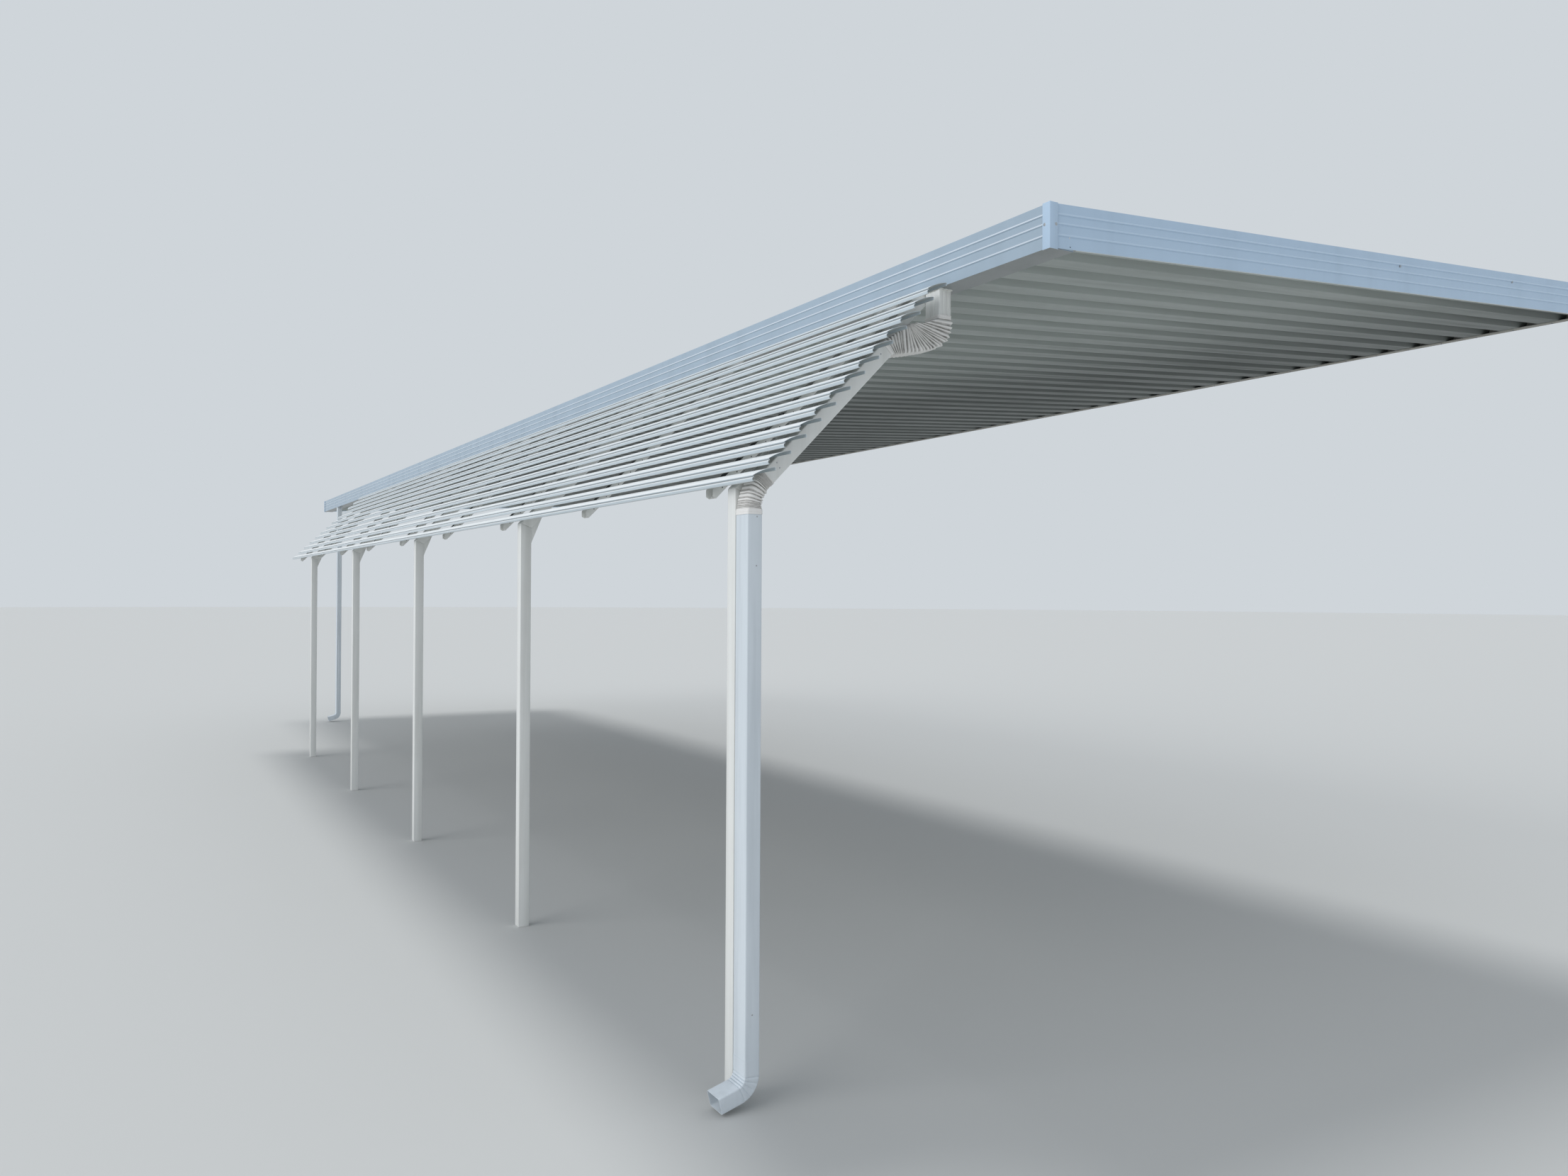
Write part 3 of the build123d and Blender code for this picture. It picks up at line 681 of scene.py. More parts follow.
def rounded_route(corner_points, radii):
    """The length of a flat route of runs and rounded corners, and a function of distance."""
    runs = []
    start = Vector(corner_points[0])
    for i, corner in enumerate(corner_points[1:-1]):
        corner = Vector(corner)
        way_in = (corner - Vector(corner_points[i])).normalized()
        way_out = (Vector(corner_points[i + 2]) - corner).normalized()
        turn = way_in.angle_signed(way_out)
        cut = radii[i] * math.tan(abs(turn) / 2)
        runs.append(("run", start, way_in, (corner - way_in * cut - start).length))
        runs.append(("arc", corner - way_in * cut, way_in, radii[i] * abs(turn), turn, radii[i]))
        start = corner + way_out * cut
    way = (Vector(corner_points[-1]) - start).normalized()
    runs.append(("run", start, way, (Vector(corner_points[-1]) - start).length))

    def at(distance):
        for run in runs:
            if distance <= run[3] or run is runs[-1]:
                break
            distance -= run[3]
        if run[0] == "run":
            return run[1] + run[2] * distance, run[2], 0.0
        turned = run[4] * distance / run[3]
        side = Vector((run[2].y, -run[2].x)) * (1 if run[4] > 0 else -1)
        centre = run[1] + side * run[5]
        spin = Matrix.Rotation(-turned, 2)
        return centre + spin @ (run[1] - centre), spin @ run[2], 1.0 if run[4] > 0 else -1.0

    return sum(run[3] for run in runs), at


def ring(point, way, y, outline, swell, deeper=0.0):
    """One ring of points across a route in the XZ plane, swollen by a function of the normal.

    Deeper is how much more than the pipe's own depth the section measures in that plane.
    """
    out = Vector((way.y, -way.x))
    stretch = 1 + deeper / PIPE_DEPTH_MM
    made = []
    for across, outward, normal_across, normal_out in outline:
        outward *= stretch
        extra = swell(normal_across, normal_out)
        shift = out * (outward + extra * normal_out) * MM
        made.append(Vector((point.x + shift.x, y + (across + extra * normal_across) * MM,
                            point.y + shift.y)))
    return made


def walled(outer, inner, rises=None):
    """A closed wall between an outer and an inner skin, each a list of rings of points."""
    solid = bmesh.new()
    layer = solid.verts.layers.float.new("rise")
    skins = []
    for rings in (outer, inner):
        skins.append([[solid.verts.new(place) for place in one] for one in rings])
    for i, one in enumerate(skins[0]):
        for vertex in one:
            vertex[layer] = rises[i] if rises else 1.0
    for skin in skins:
        for one, following in zip(skin, skin[1:]):
            for i in range(len(one)):
                j = (i + 1) % len(one)
                solid.faces.new((one[i], one[j], following[j], following[i]))
    for end in (0, -1):
        for i in range(len(skins[0][0])):
            j = (i + 1) % len(skins[0][0])
            solid.faces.new((skins[0][end][i], skins[0][end][j],
                             skins[1][end][j], skins[1][end][i]))
    bmesh.ops.recalc_face_normals(solid, faces=solid.faces)
    mesh = bpy.data.meshes.new("walled")
    solid.to_mesh(mesh)
    solid.free()
    return mesh


# %% Pleated bends
SLEEVE_MM = 1.8             # how far a bend's plain sleeves stand out over the pipe
FAR_CREST_MM = 3.6          # pleats beside the first arm, which is close
NEAR_CREST_MM = 4.6
VALLEY_MM = 5.0             # how far pleats fold in on the inside of a bend
ROUNDING_MM = 14            # the section turns from square to soft over this much of the pleats
PLEAT_HEIGHTS = (0.78, 1.0) # shares of the full height that pleats reach
NARROWEST_SHARE = 0.45      # narrow pleats stand lower, down to this share of the height
PLEAT_TILT = 0.4            # the most that a pleat leans, in radians, where its unevenness is 1
# A pleat as (share of its width, share of its height): a thin blade, or a rounder bulge
BLADE_SHAPE = ((0.0, 0.0), (0.25, 0.42), (0.46, 0.93), (0.5, 1.0), (0.54, 0.93), (0.75, 0.42))
BULGE_SHAPE = ((0.0, 0.0), (0.08, 0.2), (0.3, 0.78), (0.46, 1.0), (0.62, 0.86), (0.88, 0.3))
# A sleeve as (distance from the bend's end, how far it stands out), with one groove round it
SLEEVE_RINGS = ((0, SLEEVE_MM), (4.2, SLEEVE_MM), (4.8, 0.9), (6.2, 0.9), (6.8, SLEEVE_MM))
FAN_EASE_MM = 10            # a fan's edges are eased over this much to each side
ARC_EASE_MM = (-16, -8, 0, 8, 16)       # and an arc's ends over these distances
draw = random.Random(22)    # one fixed seed for everything that is uneven


def leaning(at, distance):
    """Which side the bend's inside is on, eased over the ends of its arcs."""
    return sum(at(distance + ease * MM)[2] for ease in ARC_EASE_MM) / len(ARC_EASE_MM)


def routed(corner_points, radii):
    """A bend whose section stays square to its route: its length, and where each ring lies."""
    length, at = rounded_route([(x * MM, z * MM) for x, z in corner_points], radii)

    def spot(distance):
        point, way, _ = at(distance)
        return point, way, leaning(at, distance), 0.0

    return length, spot


def fanned(rows, sleeves):
    """A bend that opens like a fan, from rows that pair a point of its outer and inner edge."""
    rows = [(Vector(row[:2]) * MM, Vector(row[2:]) * MM) for row in rows]
    lengths = [(following[0] - one[0]).length for one, following in zip(rows, rows[1:])]
    length = sum(lengths)

    def edges(distance):
        for i, run in enumerate(lengths):
            if distance <= run or i == len(lengths) - 1:
                break
            distance -= run
        return [one + (following - one) * distance / run
                for one, following in zip(rows[i], rows[i + 1])]

    def spot(distance):
        inward = min(distance - sleeves[0] * MM, length - sleeves[1] * MM - distance)
        reach = min(FAN_EASE_MM * MM, max(0.0, inward))
        near_by = [edges(distance + reach * part) for part in (-1, -0.5, 0, 0.5, 1)]
        outer, inner = (sum((pair[k] for pair in near_by), Vector((0, 0))) / 5 for k in (0, 1))
        out = (inner - outer).normalized()
        deeper = (inner - outer).length / MM - PIPE_DEPTH_MM
        return (outer + inner) / 2, Vector((-out.y, out.x)), reach / FAN_EASE_MM / MM, deeper

    return length, spot


def flexible_bend(name, node, shape, y, widths, pleat, corner, sleeves, crests, uneven):
    """A flexible bend of vinyl: plain sleeves at its ends and uneven pleats between them.

    Widths are the pleats' shares of the length, corner is the radius of their outline, sleeves
    the plain lengths at the two ends, and crests the height of pleats above and below.
    """
    length, spot = shape
    tight, soft = section(4.5, 5), section(corner, 5)
    first, last = sleeves
    stations = [(-1.0 * MM, SLEEVE_MM, 1.0, 0.0)]
    stations += [(along * MM, fixed, 1.0, 0.0) for along, fixed in SLEEVE_RINGS
                 if along < first - 2]
    stations.append(((first - 1) * MM, SLEEVE_MM, 1.0, 0.0))
    begin = first * MM
    widths = [width * draw.uniform(1 - uneven, 1 + uneven) for width in widths]
    scale = (length - (first + last) * MM) / sum(widths)
    for width in widths:
        narrow = min(1.0, NARROWEST_SHARE + (1 - NARROWEST_SHARE) * width)
        height = draw.uniform(*PLEAT_HEIGHTS) * narrow
        tilt = draw.uniform(-PLEAT_TILT, PLEAT_TILT) * uneven * min(1.0, width)
        for phase, wave in pleat:
            stations.append((begin + phase * width * scale, None, wave * height, tilt))
        begin += width * scale
    stations.append((length - (last - 1) * MM, SLEEVE_MM, 1.0, 0.0))
    stations += [(length - along * MM, fixed, 1.0, 0.0) for along, fixed in reversed(SLEEVE_RINGS)
                 if along < last - 2]
    stations.append((length + 1.0 * MM, SLEEVE_MM, 1.0, 0.0))
    outer, inner, rises = [], [], []
    for distance, fixed, wave, tilt in stations:
        point, way, lean, deeper = spot(distance)
        inside_ends = min(distance - (first - 4) * MM, length - (last - 4) * MM - distance)
        roundness = min(1.0, max(0.0, inside_ends / (ROUNDING_MM * MM)))
        outline = [tuple(a + (b - a) * roundness for a, b in zip(one, other))
                   for one, other in zip(tight, soft)]

        def swell(normal_across, normal_out, inset=0.0):
            if fixed is not None:
                return fixed - inset
            inside = max(0.0, 0.5 + 0.5 * lean * normal_out)
            crest = FAR_CREST_MM if normal_across > 0 else NEAR_CREST_MM
            crest += (crests[0 if normal_out > 0 else 1] - crest) * abs(normal_out)
            valley = -VALLEY_MM * inside * abs(lean)
            return valley + (crest - valley) * wave - inset

        ring_way = Matrix.Rotation(tilt * wave, 2) @ way
        outer.append(ring(point, ring_way, y, outline, swell, deeper))
        inner.append(ring(point, ring_way, y, outline,
                          lambda a, o: swell(a, o, PIPE_WALL_MM), deeper))
        rises.append(wave)
    keep(name, walled(outer, inner, rises), vinyl, [node])


# %% [markdown]
# Both bends were pulled into place by hand, so neither is regular. The upper one was measured edge
# by edge in the photograph. The lower one keeps to its route, and only its pleats' widths differ.

# %% Where the bends run
NEAR_PIPE_Y = (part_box("near_downspout")[0].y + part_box("near_downspout")[1].y) / 2
FAR_PIPE_Y = (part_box("far_downspout")[0].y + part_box("far_downspout")[1].y) / 2
OUTLET_X_MM = -3139.6       # centre lines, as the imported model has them
POST_PIPE_X_MM = -3861.6
PIPE_LINE_MM = 2912.997     # the sloping pipe's centre line is z = x + this
OUTLET_FOOT_MM = -323
UPPER_END_MM = (-3374.63, -461.63)
LOWER_START_MM = (-3814.45, -901.45)
ELBOW_Z_MM = POST_PIPE_X_MM + PIPE_LINE_MM
LOWER_END_Z_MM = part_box("near_lower_bend")[0].z / MM
PIPE_FOOT_Z_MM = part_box("near_downspout")[0].z / MM
UPPER_SLEEVES_MM = (13, 8)
LOWER_SLEEVES_MM = (3, 17)
LOWER_RADIUS_MM = 132
half_depth = PIPE_DEPTH_MM / 2
aslant = half_depth * math.cos(VISOR)
down_slope = UPPER_SLEEVES_MM[1] * math.cos(VISOR)
sleeve_foot = OUTLET_FOOT_MM - UPPER_SLEEVES_MM[0]
# Pulled hard round its turn, the upper bend hangs open below and crowds together at its inside
UPPER_EDGES_MM = [
    (OUTLET_X_MM + half_depth, OUTLET_FOOT_MM, OUTLET_X_MM - half_depth, OUTLET_FOOT_MM),
    (OUTLET_X_MM + half_depth, sleeve_foot, OUTLET_X_MM - half_depth, sleeve_foot),
    (-3113.5, -352, -3200, -347), (-3118, -378, -3240, -359), (-3131, -402, -3266, -366.5),
    (-3155, -421, -3278, -370.5), (-3190, -436, -3283, -372.5), (-3228, -447, -3287, -374),
    (-3262, -454, -3291, -375.5), (-3293, -460, -3298, -378.5), (-3320, -467, -3334, -399),
    (UPPER_END_MM[0] + aslant + down_slope, UPPER_END_MM[1] - aslant + down_slope,
     UPPER_END_MM[0] - aslant + down_slope, UPPER_END_MM[1] + aslant + down_slope),
    (UPPER_END_MM[0] + aslant, UPPER_END_MM[1] - aslant,
     UPPER_END_MM[0] - aslant, UPPER_END_MM[1] + aslant)]
flexible_bend("pleated_upper_bend", "near_upper_bend",
              fanned(UPPER_EDGES_MM, UPPER_SLEEVES_MM), NEAR_PIPE_Y,
              widths=[1.2] * 2 + [1.0] * 15 + [0.5] * 6, pleat=BLADE_SHAPE, corner=6,
              sleeves=UPPER_SLEEVES_MM, crests=(4.0, 9.5), uneven=0.18)

# The lower bend keeps its section and crowds at both ends, with four wide pleats at its elbow
LOWER_ROUTE_MM = [LOWER_START_MM, (POST_PIPE_X_MM, ELBOW_Z_MM), (POST_PIPE_X_MM, LOWER_END_Z_MM)]
flexible_bend("pleated_lower_bend", "near_lower_bend",
              routed(LOWER_ROUTE_MM, [LOWER_RADIUS_MM * MM]), NEAR_PIPE_Y,
              widths=[0.42] * 9 + [0.8] + [1.5] * 4 + [0.9] + [0.42] * 5, pleat=BULGE_SHAPE,
              corner=17, sleeves=LOWER_SLEEVES_MM, crests=(4.0, 6.5), uneven=0.3)

# %% [markdown]
# The shoes at the foot are the same metal as the pipes. Their bend is crimped: sharp folds are
# pressed into the inside of the turn and fade out towards its smooth back. They are made as the
# bends are, from rings along a route, with narrow dips in place of pleats.

# %% Crimped shoes
CRIMP_MM = 4.2
# A crimp as (share of its width, share of its depth)
CRIMP_SHAPE = ((0.0, 0.0), (0.24, 0.05), (0.4, 0.4), (0.5, 1.0), (0.6, 0.4), (0.76, 0.05))
CRIMPS = 5
CRIMP_DEPTHS = (0.85, 1.1)  # no two are pressed alike
CRIMP_ROUND_SHARE = 0.5     # how much of a crimp's depth runs on over the sides of the bend
SHOE_PROUD_MM = 0.7         # the shoe is pushed over the pipe's end
SHOE_CORNER_MM = 5
KICK_RADIUS_MM = 56
KICK_TURN = math.radians(75)
KICK_ARC_MM = KICK_RADIUS_MM * KICK_TURN
KICK_RUN_IN_MM = 46
KICK_CORNER_Z_MM = PIPE_FOOT_Z_MM - KICK_RUN_IN_MM - KICK_RADIUS_MM * math.tan(KICK_TURN / 2)
KICK_REACH_MM = 111


def crimped_shoe(name, node, x_mm, y):
    """The turned foot of a downspout, with crimps on the inside of its bend."""
    mouth = (x_mm - KICK_REACH_MM * math.sin(KICK_TURN),
             KICK_CORNER_Z_MM - KICK_REACH_MM * math.cos(KICK_TURN))
    route_mm = ((x_mm, PIPE_FOOT_Z_MM), (x_mm, KICK_CORNER_Z_MM), mouth)
    length, at = rounded_route([(x * MM, z * MM) for x, z in route_mm], [KICK_RADIUS_MM * MM])
    outline = section(SHOE_CORNER_MM, 4)
    stations = [(0.0, 0.0), ((KICK_RUN_IN_MM - 8) * MM, 0.0)]
    begin = (KICK_RUN_IN_MM - 2) * MM
    pitch = KICK_ARC_MM / CRIMPS * MM
    for _ in range(CRIMPS):
        depth = draw.uniform(*CRIMP_DEPTHS)
        stations += [(begin + phase * pitch, depth * fold) for phase, fold in CRIMP_SHAPE]
        begin += pitch
    stations += [(begin + 4 * MM, 0.0), (length - 20 * MM, 0.0), (length, 0.0)]
    outer, inner = [], []
    for distance, fold in stations:
        point, way, _ = at(distance)
        lean = leaning(at, distance)

        def swell(_, normal_out, inset=0.0):
            inside = max(0.0, lean * normal_out)
            reach = max(inside, CRIMP_ROUND_SHARE * (1 - abs(normal_out)))
            return SHOE_PROUD_MM - CRIMP_MM * fold * reach - inset

        outer.append(ring(point, way, y, outline, swell))
        inner.append(ring(point, way, y, outline, lambda a, o: swell(a, o, PIPE_WALL_MM)))
    keep(name, walled(outer, inner), pipe_enamel, [node])


crimped_shoe("crimped_near_kickout", "near_kickout", POST_PIPE_X_MM, NEAR_PIPE_Y)
crimped_shoe("crimped_far_kickout", "far_kickout", OUTLET_X_MM, FAR_PIPE_Y)


# %% [markdown]
# The straight runs are the same section along a line. Where a pipe hangs from the gutter, its sheet
# is turned out into a lip, and shallow grooves run down its faces.

# %% Straight downspouts
PIPE_CORNER_MM = 4
FRONT_GROOVES_MM = (-12, 12)
SIDE_GROOVES_MM = (-9, 9)
# The lip round an outlet's head as (distance down the pipe, how far it stands out)
OUTLET_LIP_MM = ((0, 6.0), (2.2, 6.0), (3.0, 5.2), (3.4, 0.6), (4.0, 0.0))


def straight_pipe(node, start_mm, end_mm, y, finish, from_gutter=False):
    """A straight run of downspout sheet; one that hangs from the gutter has a lip and grooves."""
    grooves = (FRONT_GROOVES_MM, SIDE_GROOVES_MM) if from_gutter else ()
    outline = section(PIPE_CORNER_MM, 4, *grooves)
    start = Vector(start_mm) * MM
    end = Vector(end_mm) * MM
    way = (end - start).normalized()
    stations = [(start.lerp(end, i / 4), 0.0) for i in range(5)]
    if from_gutter:
        stations = [(start + way * along * MM, swell_mm)
                    for along, swell_mm in OUTLET_LIP_MM] + stations[1:]
    outer = [ring(point, way, y, outline, lambda *_: swell_mm) for point, swell_mm in stations]
    inner = [ring(point, way, y, outline, lambda *_: -PIPE_WALL_MM) for point, _ in stations]
    keep(f"rolled_{node}", walled(outer, inner), finish, [node])


EAVE_Z_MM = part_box("outer_gutter")[0].z / MM
TUCK_MM = 5                 # how far a pipe reaches into a bend's sleeve
tuck = TUCK_MM * math.cos(VISOR)
straight_pipe("near_outlet", (OUTLET_X_MM, EAVE_Z_MM), (OUTLET_X_MM, OUTLET_FOOT_MM - TUCK_MM),
              NEAR_PIPE_Y, frame_enamel, from_gutter=True)
straight_pipe("near_sloping_pipe", (UPPER_END_MM[0] + tuck, UPPER_END_MM[1] + tuck),
              (LOWER_START_MM[0] - tuck, LOWER_START_MM[1] - tuck), NEAR_PIPE_Y, frame_enamel)
straight_pipe("near_downspout", (POST_PIPE_X_MM, LOWER_END_Z_MM + TUCK_MM),
              (POST_PIPE_X_MM, PIPE_FOOT_Z_MM), NEAR_PIPE_Y, pipe_enamel)
straight_pipe("far_downspout", (OUTLET_X_MM, EAVE_Z_MM), (OUTLET_X_MM, PIPE_FOOT_Z_MM),
              FAR_PIPE_Y, pipe_enamel, from_gutter=True)

# %% [markdown]
# ## Hangers
#
# Between the posts the slats hang on shallow open channels. Each is folded from one sheet, so it
# has a web, two flanges and soft folds, and its lower end is cut plumb. The solid has all of that,
# so it is copied and its folds are rolled, as the tubes are.

# %% Open channels
keep("folded_visor_hangers", rolled_copy("visor_hangers", FOLD_MM, 2), frame_enamel,
     ["visor_hangers"])

# %% [markdown]
# ## Screws, rivets and clips
#
# Hundreds of small like pieces are the other task for Geometry Nodes. Each kind is modelled once,
# each place is a bare vertex that carries a turn, and one tree puts the head on every vertex.


# %% Heads
def revolved(points, steps):
    """A closed head from (radius, height) pairs, turned about Z, in millimetres."""
    solid = bmesh.new()
    rings = []
    for radius, height in points:
        if radius == 0:
            rings.append([solid.verts.new((0, 0, height * MM))])
        else:
            turns = [math.tau * i / steps for i in range(steps)]
            rings.append([solid.verts.new((radius * MM * math.cos(turn),
                                           radius * MM * math.sin(turn), height * MM))
                          for turn in turns])
    for one, following in zip(rings, rings[1:]):
        for i in range(steps):
            j = (i + 1) % steps
            if len(one) == 1:
                solid.faces.new((one[0], following[i], following[j]))
            elif len(following) == 1:
                solid.faces.new((one[i], one[j], following[0]))
            else:
                solid.faces.new((one[i], one[j], following[j], following[i]))
    bmesh.ops.recalc_face_normals(solid, faces=solid.faces)
    return solid


def finished(solid, name):
    """A mesh from a bmesh, which is then freed."""
    mesh = bpy.data.meshes.new(name)
    solid.to_mesh(mesh)
    solid.free()
    return mesh


# Each list runs from the middle of a head's foot round to its top. A foot is sunk half a
# millimetre into the sheet, and the hexagon a little into its washer
hex_head = revolved([(0, -0.5), (5.2, -0.5), (5.2, 0.5), (4.6, 0.9), (0, 0.9)], 18)
hexagon = revolved([(0, 0.6), (3.7, 0.6), (3.7, 3.6), (3.2, 4.1), (0, 4.1)], 6)
hex_head.from_mesh(finished(hexagon, "hexagon"))
hex_mesh = finished(hex_head, "hex_head")
dome = revolved([(0, -0.5), (4.2, -0.5), (4.2, 0.2), (3.7, 1.1), (2.3, 1.9), (0, 2.2)], 14)
dome_mesh = finished(dome, "dome_head")
rivet = revolved([(0, -0.5), (5, -0.5), (5, 0.15), (4.4, 0.35), (0, 0.35)], 16)
rivet_mesh = finished(rivet, "rivet_head")

CLIP_SIZE_MM = (14, 46.2, 9)
CLIP_EDGE_MM = 1.5
clip_solid = bmesh.new()
clip_size = [side * MM for side in CLIP_SIZE_MM]
bmesh.ops.create_cube(clip_solid, size=1.0, matrix=Matrix.Diagonal((*clip_size, 1)))
bmesh.ops.bevel(clip_solid, geom=list(clip_solid.edges), offset=CLIP_EDGE_MM * MM, segments=2,
                affect="EDGES")
clip_mesh = finished(clip_solid, "clip")

# %% The tree that sets heads
fastener_tree, given, fastener_sockets = start_tree("fasteners", [
    ("Head", "NodeSocketObject"), ("Size", "NodeSocketFloat"), ("Finish", "NodeSocketMaterial")])
head = add_node(fastener_tree, "GeometryNodeObjectInfo", None,
                {"Object": given.outputs["Head"], "As Instance": True})
turn = add_node(fastener_tree, "GeometryNodeInputNamedAttribute",
                {"data_type": "FLOAT_VECTOR"}, {"Name": "turn"})
as_rotation = add_node(fastener_tree, "FunctionNodeEulerToRotation", None, {0: turn.outputs[0]})
set_down = add_node(fastener_tree, "GeometryNodeInstanceOnPoints", None,
                    {"Points": given.outputs["Geometry"], "Instance": head.outputs["Geometry"],
                     "Rotation": as_rotation.outputs[0], "Scale": given.outputs["Size"]})
all_heads = add_node(fastener_tree, "GeometryNodeRealizeInstances", None,
                     {"Geometry": set_down.outputs[0]})
plated = add_node(fastener_tree, "GeometryNodeSetMaterial", None,
                  {"Geometry": all_heads.outputs[0], "Material": given.outputs["Finish"]})
end_tree(fastener_tree, plated.outputs[0])

head_meshes = {"hex": hex_mesh, "dome": dome_mesh, "rivet": rivet_mesh, "clip": clip_mesh}
head_objects = {name: linked(name, mesh) for name, mesh in head_meshes.items()}
print("heads", sorted(head_meshes))


def fasten(name, head_name, places, material, size=1.0):
    """Set heads at places, each a point and its outward direction; clips lie along the slats."""
    points = bpy.data.meshes.new(f"{name}_points")
    points.from_pydata([place for place, _ in places], [], [])
    turns = points.attributes.new("turn", "FLOAT_VECTOR", "POINT")
    for i, (_, outward) in enumerate(places):
        spin = Matrix.Rotation(draw.uniform(0, math.tau), 3, "Z")
        facing = outward.to_track_quat("Z", "Y").to_matrix()
        if head_name == "clip":
            facing = Matrix.Rotation(-VISOR, 3, "Y")
            spin = Matrix.Identity(3)
        turns.data[i].vector = (facing @ spin).to_euler()
    mesh = grown(f"{name}_working", points, fastener_tree, fastener_sockets,
                 {"Head": head_objects[head_name], "Size": size, "Finish": material})
    return keep(name, mesh, material)


# %% [markdown]
# In every flute between two ribs, one screw goes up through the ledger's flange and another goes
# down through the deck above the gutter. Painted screws hold the fascias' top folds at wide steps,
# and the near side shows a few heads that are set one by one. Loops suit the first kinds, and
# short lists the last.

# %% Screws along the deck
UP = Vector((0, 0, 1))
DOWN = Vector((0, 0, -1))
NEAR = Vector((0, -1, 0))
OUT = Vector((-1, 0, 0))
SLOPE = 195 / 3170              # the roof's fall over its run
RIBS_PER_SHEET = 16
DECK_SEAT_MM = -32              # the deck's underside where the roof begins
LEDGER_FLANGE_MM = 3
DECK_SHEET_MM = 1.5
LEDGER_SCREWS_X_MM = -26
DECK_SCREWS_X_MM = -3060
roof_low, roof_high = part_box("roof_sheet_1")
rib_pitch = (roof_high.y - roof_low.y) / RIBS_PER_SHEET
ledger_screws = []
deck_screws = []
for k in range(1, ROOF_SHEETS * RIBS_PER_SHEET):
    y = roof_low.y + k * rib_pitch
    x = LEDGER_SCREWS_X_MM * MM
    ledger_screws.append((Vector((x, y, (DECK_SEAT_MM - LEDGER_FLANGE_MM) * MM + SLOPE * x)), DOWN))
    x = DECK_SCREWS_X_MM * MM
    deck_screws.append((Vector((x, y, (DECK_SEAT_MM + DECK_SHEET_MM) * MM + SLOPE * x)), UP))
fasten("ledger_screws", "hex", ledger_screws, zinc)
fasten("deck_screws", "hex", deck_screws, zinc)

# %% Screws in the fascias' top folds
FOLD_SCREWS_FROM = 0.35         # metres from the gutter's end to its first screw
FOLD_SCREWS_PITCH = 0.86
FOLD_SCREWS_CLEAR = 0.2         # none sits nearer than this to the gutter's other end
GUTTER_FOLD_IN = 0.009          # from the fold's outer edge to the screws' line
END_FOLD_IN = 0.011
END_FOLD_TOP_MM = 92            # height of the end fascias' top fold where the roof begins
END_FOLD_SCREWS_X = (-3.075, -2.587, -1.960, -1.38, -0.80, -0.25)
fold_places = []
y = gutter_low.y + FOLD_SCREWS_FROM
while y < gutter_high.y - FOLD_SCREWS_CLEAR:
    fold_places.append((Vector((gutter_low.x + GUTTER_FOLD_IN, y, gutter_high.z)), UP))
    y += FOLD_SCREWS_PITCH
for y in (cad_low.y + END_FOLD_IN, cad_high.y - END_FOLD_IN):
    for x in END_FOLD_SCREWS_X:
        fold_places.append((Vector((x, y, END_FOLD_TOP_MM * MM + SLOPE * x)), UP))
fasten("top_fold_screws", "dome", fold_places, painted_head)

# %% Screws that the near side shows
# Each place is (x, z) in metres, where the photograph shows a head
FASCIA_SCREWS = ((-1.437, -0.0338), (-0.6757, 0.0152))
FASCIA_PINS = ((-3.0923, -0.1963), (-2.2036, -0.1582))
DARK_PIN = ((-3.0891, -0.2232),)
PIPE_SCREWS = ((-3.7865, -0.8558), (-3.7765, -0.8717), (-3.4011, -0.4811),
               (-3.8564, -1.1723), (-3.8628, -2.5287), (-3.8549, -1.0235))
FASCIA_RIB_MM = 2.5             # the fascia's flat lies this far behind its ribs


def on_near_side(places, face_y):
    """Places (x, z) on a face that looks along -Y, ready for heads."""
    return [(Vector((x, face_y, z)), NEAR) for x, z in places]


near_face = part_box("near_end_fascia")[0].y + FASCIA_RIB_MM * MM
fasten("fascia_screws", "hex", on_near_side(FASCIA_SCREWS, near_face), zinc)
fasten("fascia_pins", "dome", on_near_side(FASCIA_PINS, near_face), painted_head, 0.6)
fasten("fascia_dark_pin", "dome", on_near_side(DARK_PIN, near_face), dark_zinc, 0.45)

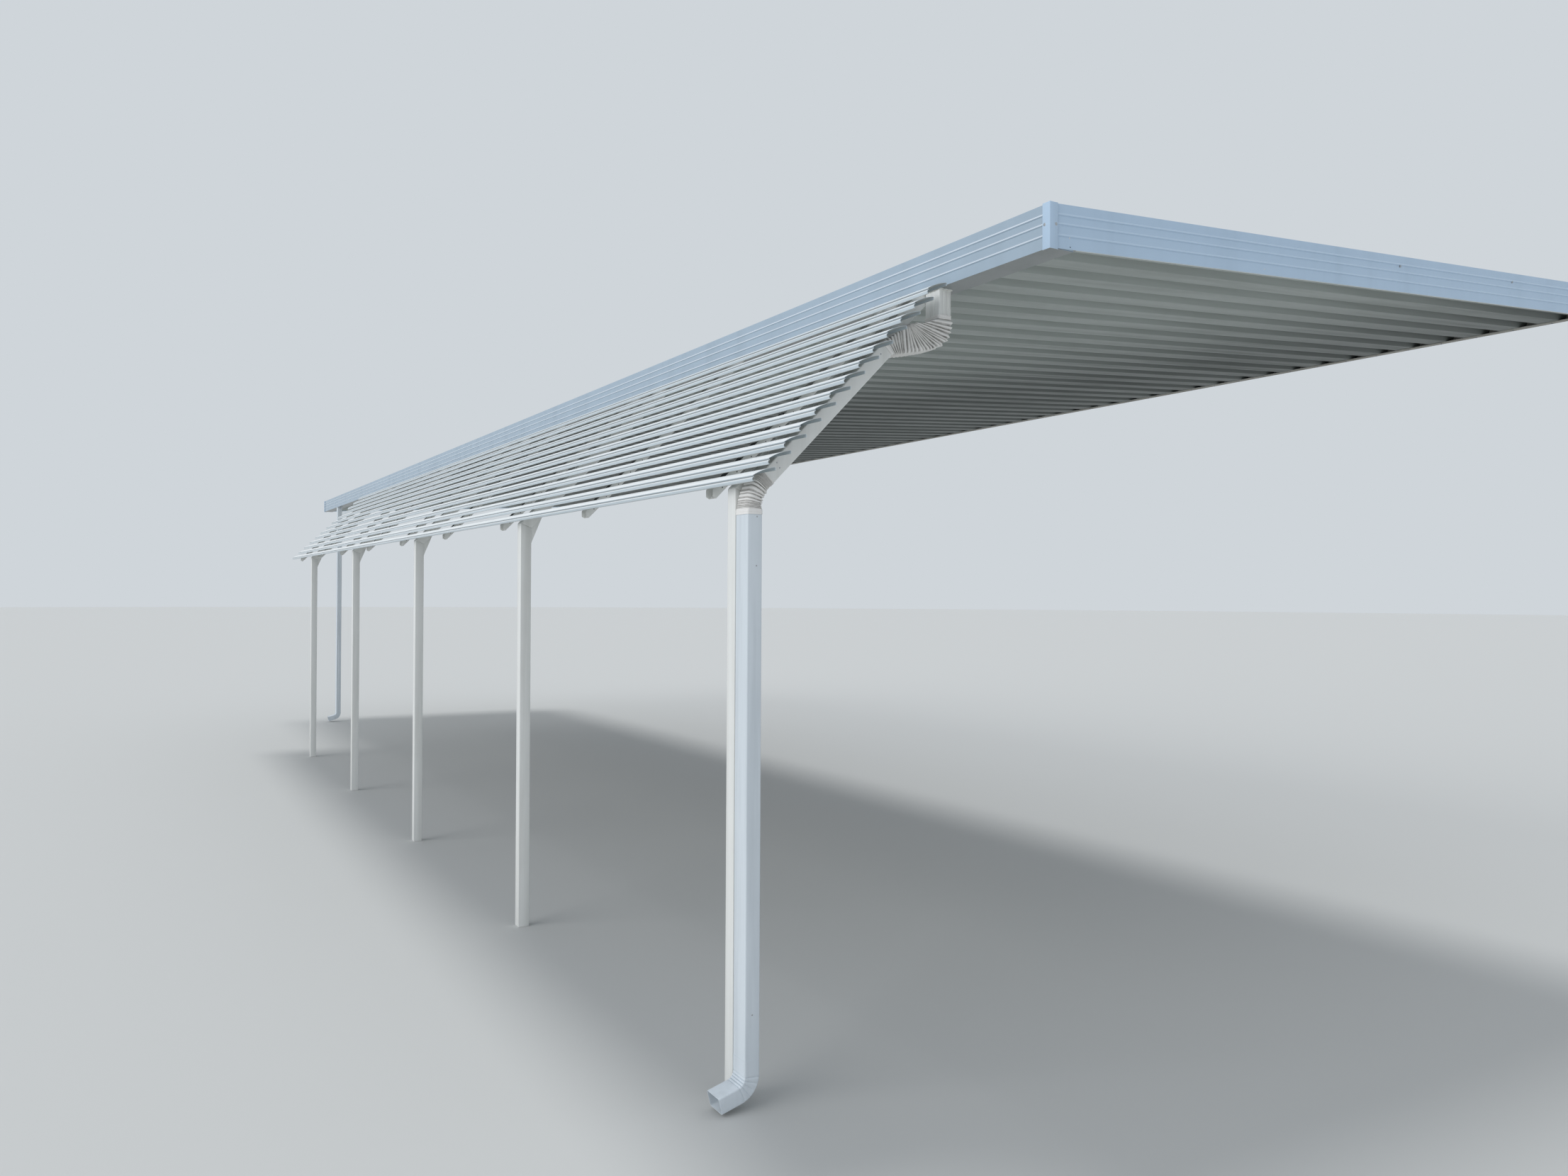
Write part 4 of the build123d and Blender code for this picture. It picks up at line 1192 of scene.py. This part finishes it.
# %% Rivets of the corner caps
CAP_RIVET_Z = -0.1643
CAP_RIVET_X_IN = 0.0246         # from the cap's corner, on its end face
CAP_RIVET_Y_IN = 0.0233         # and on its outer face
cap_low, cap_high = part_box("corner_caps")
rivets = []
for face_y, edge_y, away in ((cap_low.y, cap_low.y + CAP_RIVET_Y_IN, NEAR),
                             (cap_high.y, cap_high.y - CAP_RIVET_Y_IN, -NEAR)):
    rivets.append((Vector((cap_low.x + CAP_RIVET_X_IN, face_y, CAP_RIVET_Z)), away))
    rivets.append((Vector((cap_low.x, edge_y, CAP_RIVET_Z)), OUT))
fasten("cap_rivets", "rivet", rivets, zinc)

# %% Screws of the near downspout
pipe_face = NEAR_PIPE_Y - PIPE_BREADTH_MM / 2 * MM
fasten("pipe_screws", "dome", on_near_side(PIPE_SCREWS, pipe_face), zinc, 0.6)

# %% [markdown]
# A black block fills the hanger's mouth in every gap between slats, where the mouth shows dark.
# Beside it the hanger's flange carries a small dark screw.

# %% Clips and flange screws
CLIP_LINE_MM = 2955             # the hangers' mouths lie on z = x + this
CLIP_SUNK_MM = 5.5
GAP_FROM_LIP_MM = 76            # from the first slat's lip to the clip behind it
SCREW_LINE_MM = 2929.5          # the flange screws lie on z = x + this
LOWEST_SCREW_X_MM = -3844.6
HANGERS = 9
FIRST_HANGER_Y_MM = -5766
HANGER_PITCH_MM = 1137
HANGER_HALF_MM = 25.4
slope_up = Vector((-1, 0, 1)).normalized()
sunk = slope_up * (CLIP_SUNK_MM * MM)
clip_places = []
flange_places = []
gap_pitch = SLAT_PITCH_MM * math.cos(VISOR)
for i in range(SLAT_COUNT - 1):
    x = FIRST_LIP.x / MM + GAP_FROM_LIP_MM - (i + 0.5) * gap_pitch
    screw_x = LOWEST_SCREW_X_MM + i * gap_pitch
    for j in range(HANGERS):
        y = FIRST_HANGER_Y_MM + j * HANGER_PITCH_MM
        flange_spot = Vector((screw_x, y - HANGER_HALF_MM, screw_x + SCREW_LINE_MM)) * MM
        clip_places.append((Vector((x, y, x + CLIP_LINE_MM)) * MM - sunk, slope_up))
        flange_places.append((flange_spot, NEAR))
fasten("slat_clips", "clip", clip_places, black_mouth_fill)
fasten("flange_screws", "dome", flange_places, dark_zinc, 0.5)

for head_object in head_objects.values():
    bpy.data.objects.remove(head_object)
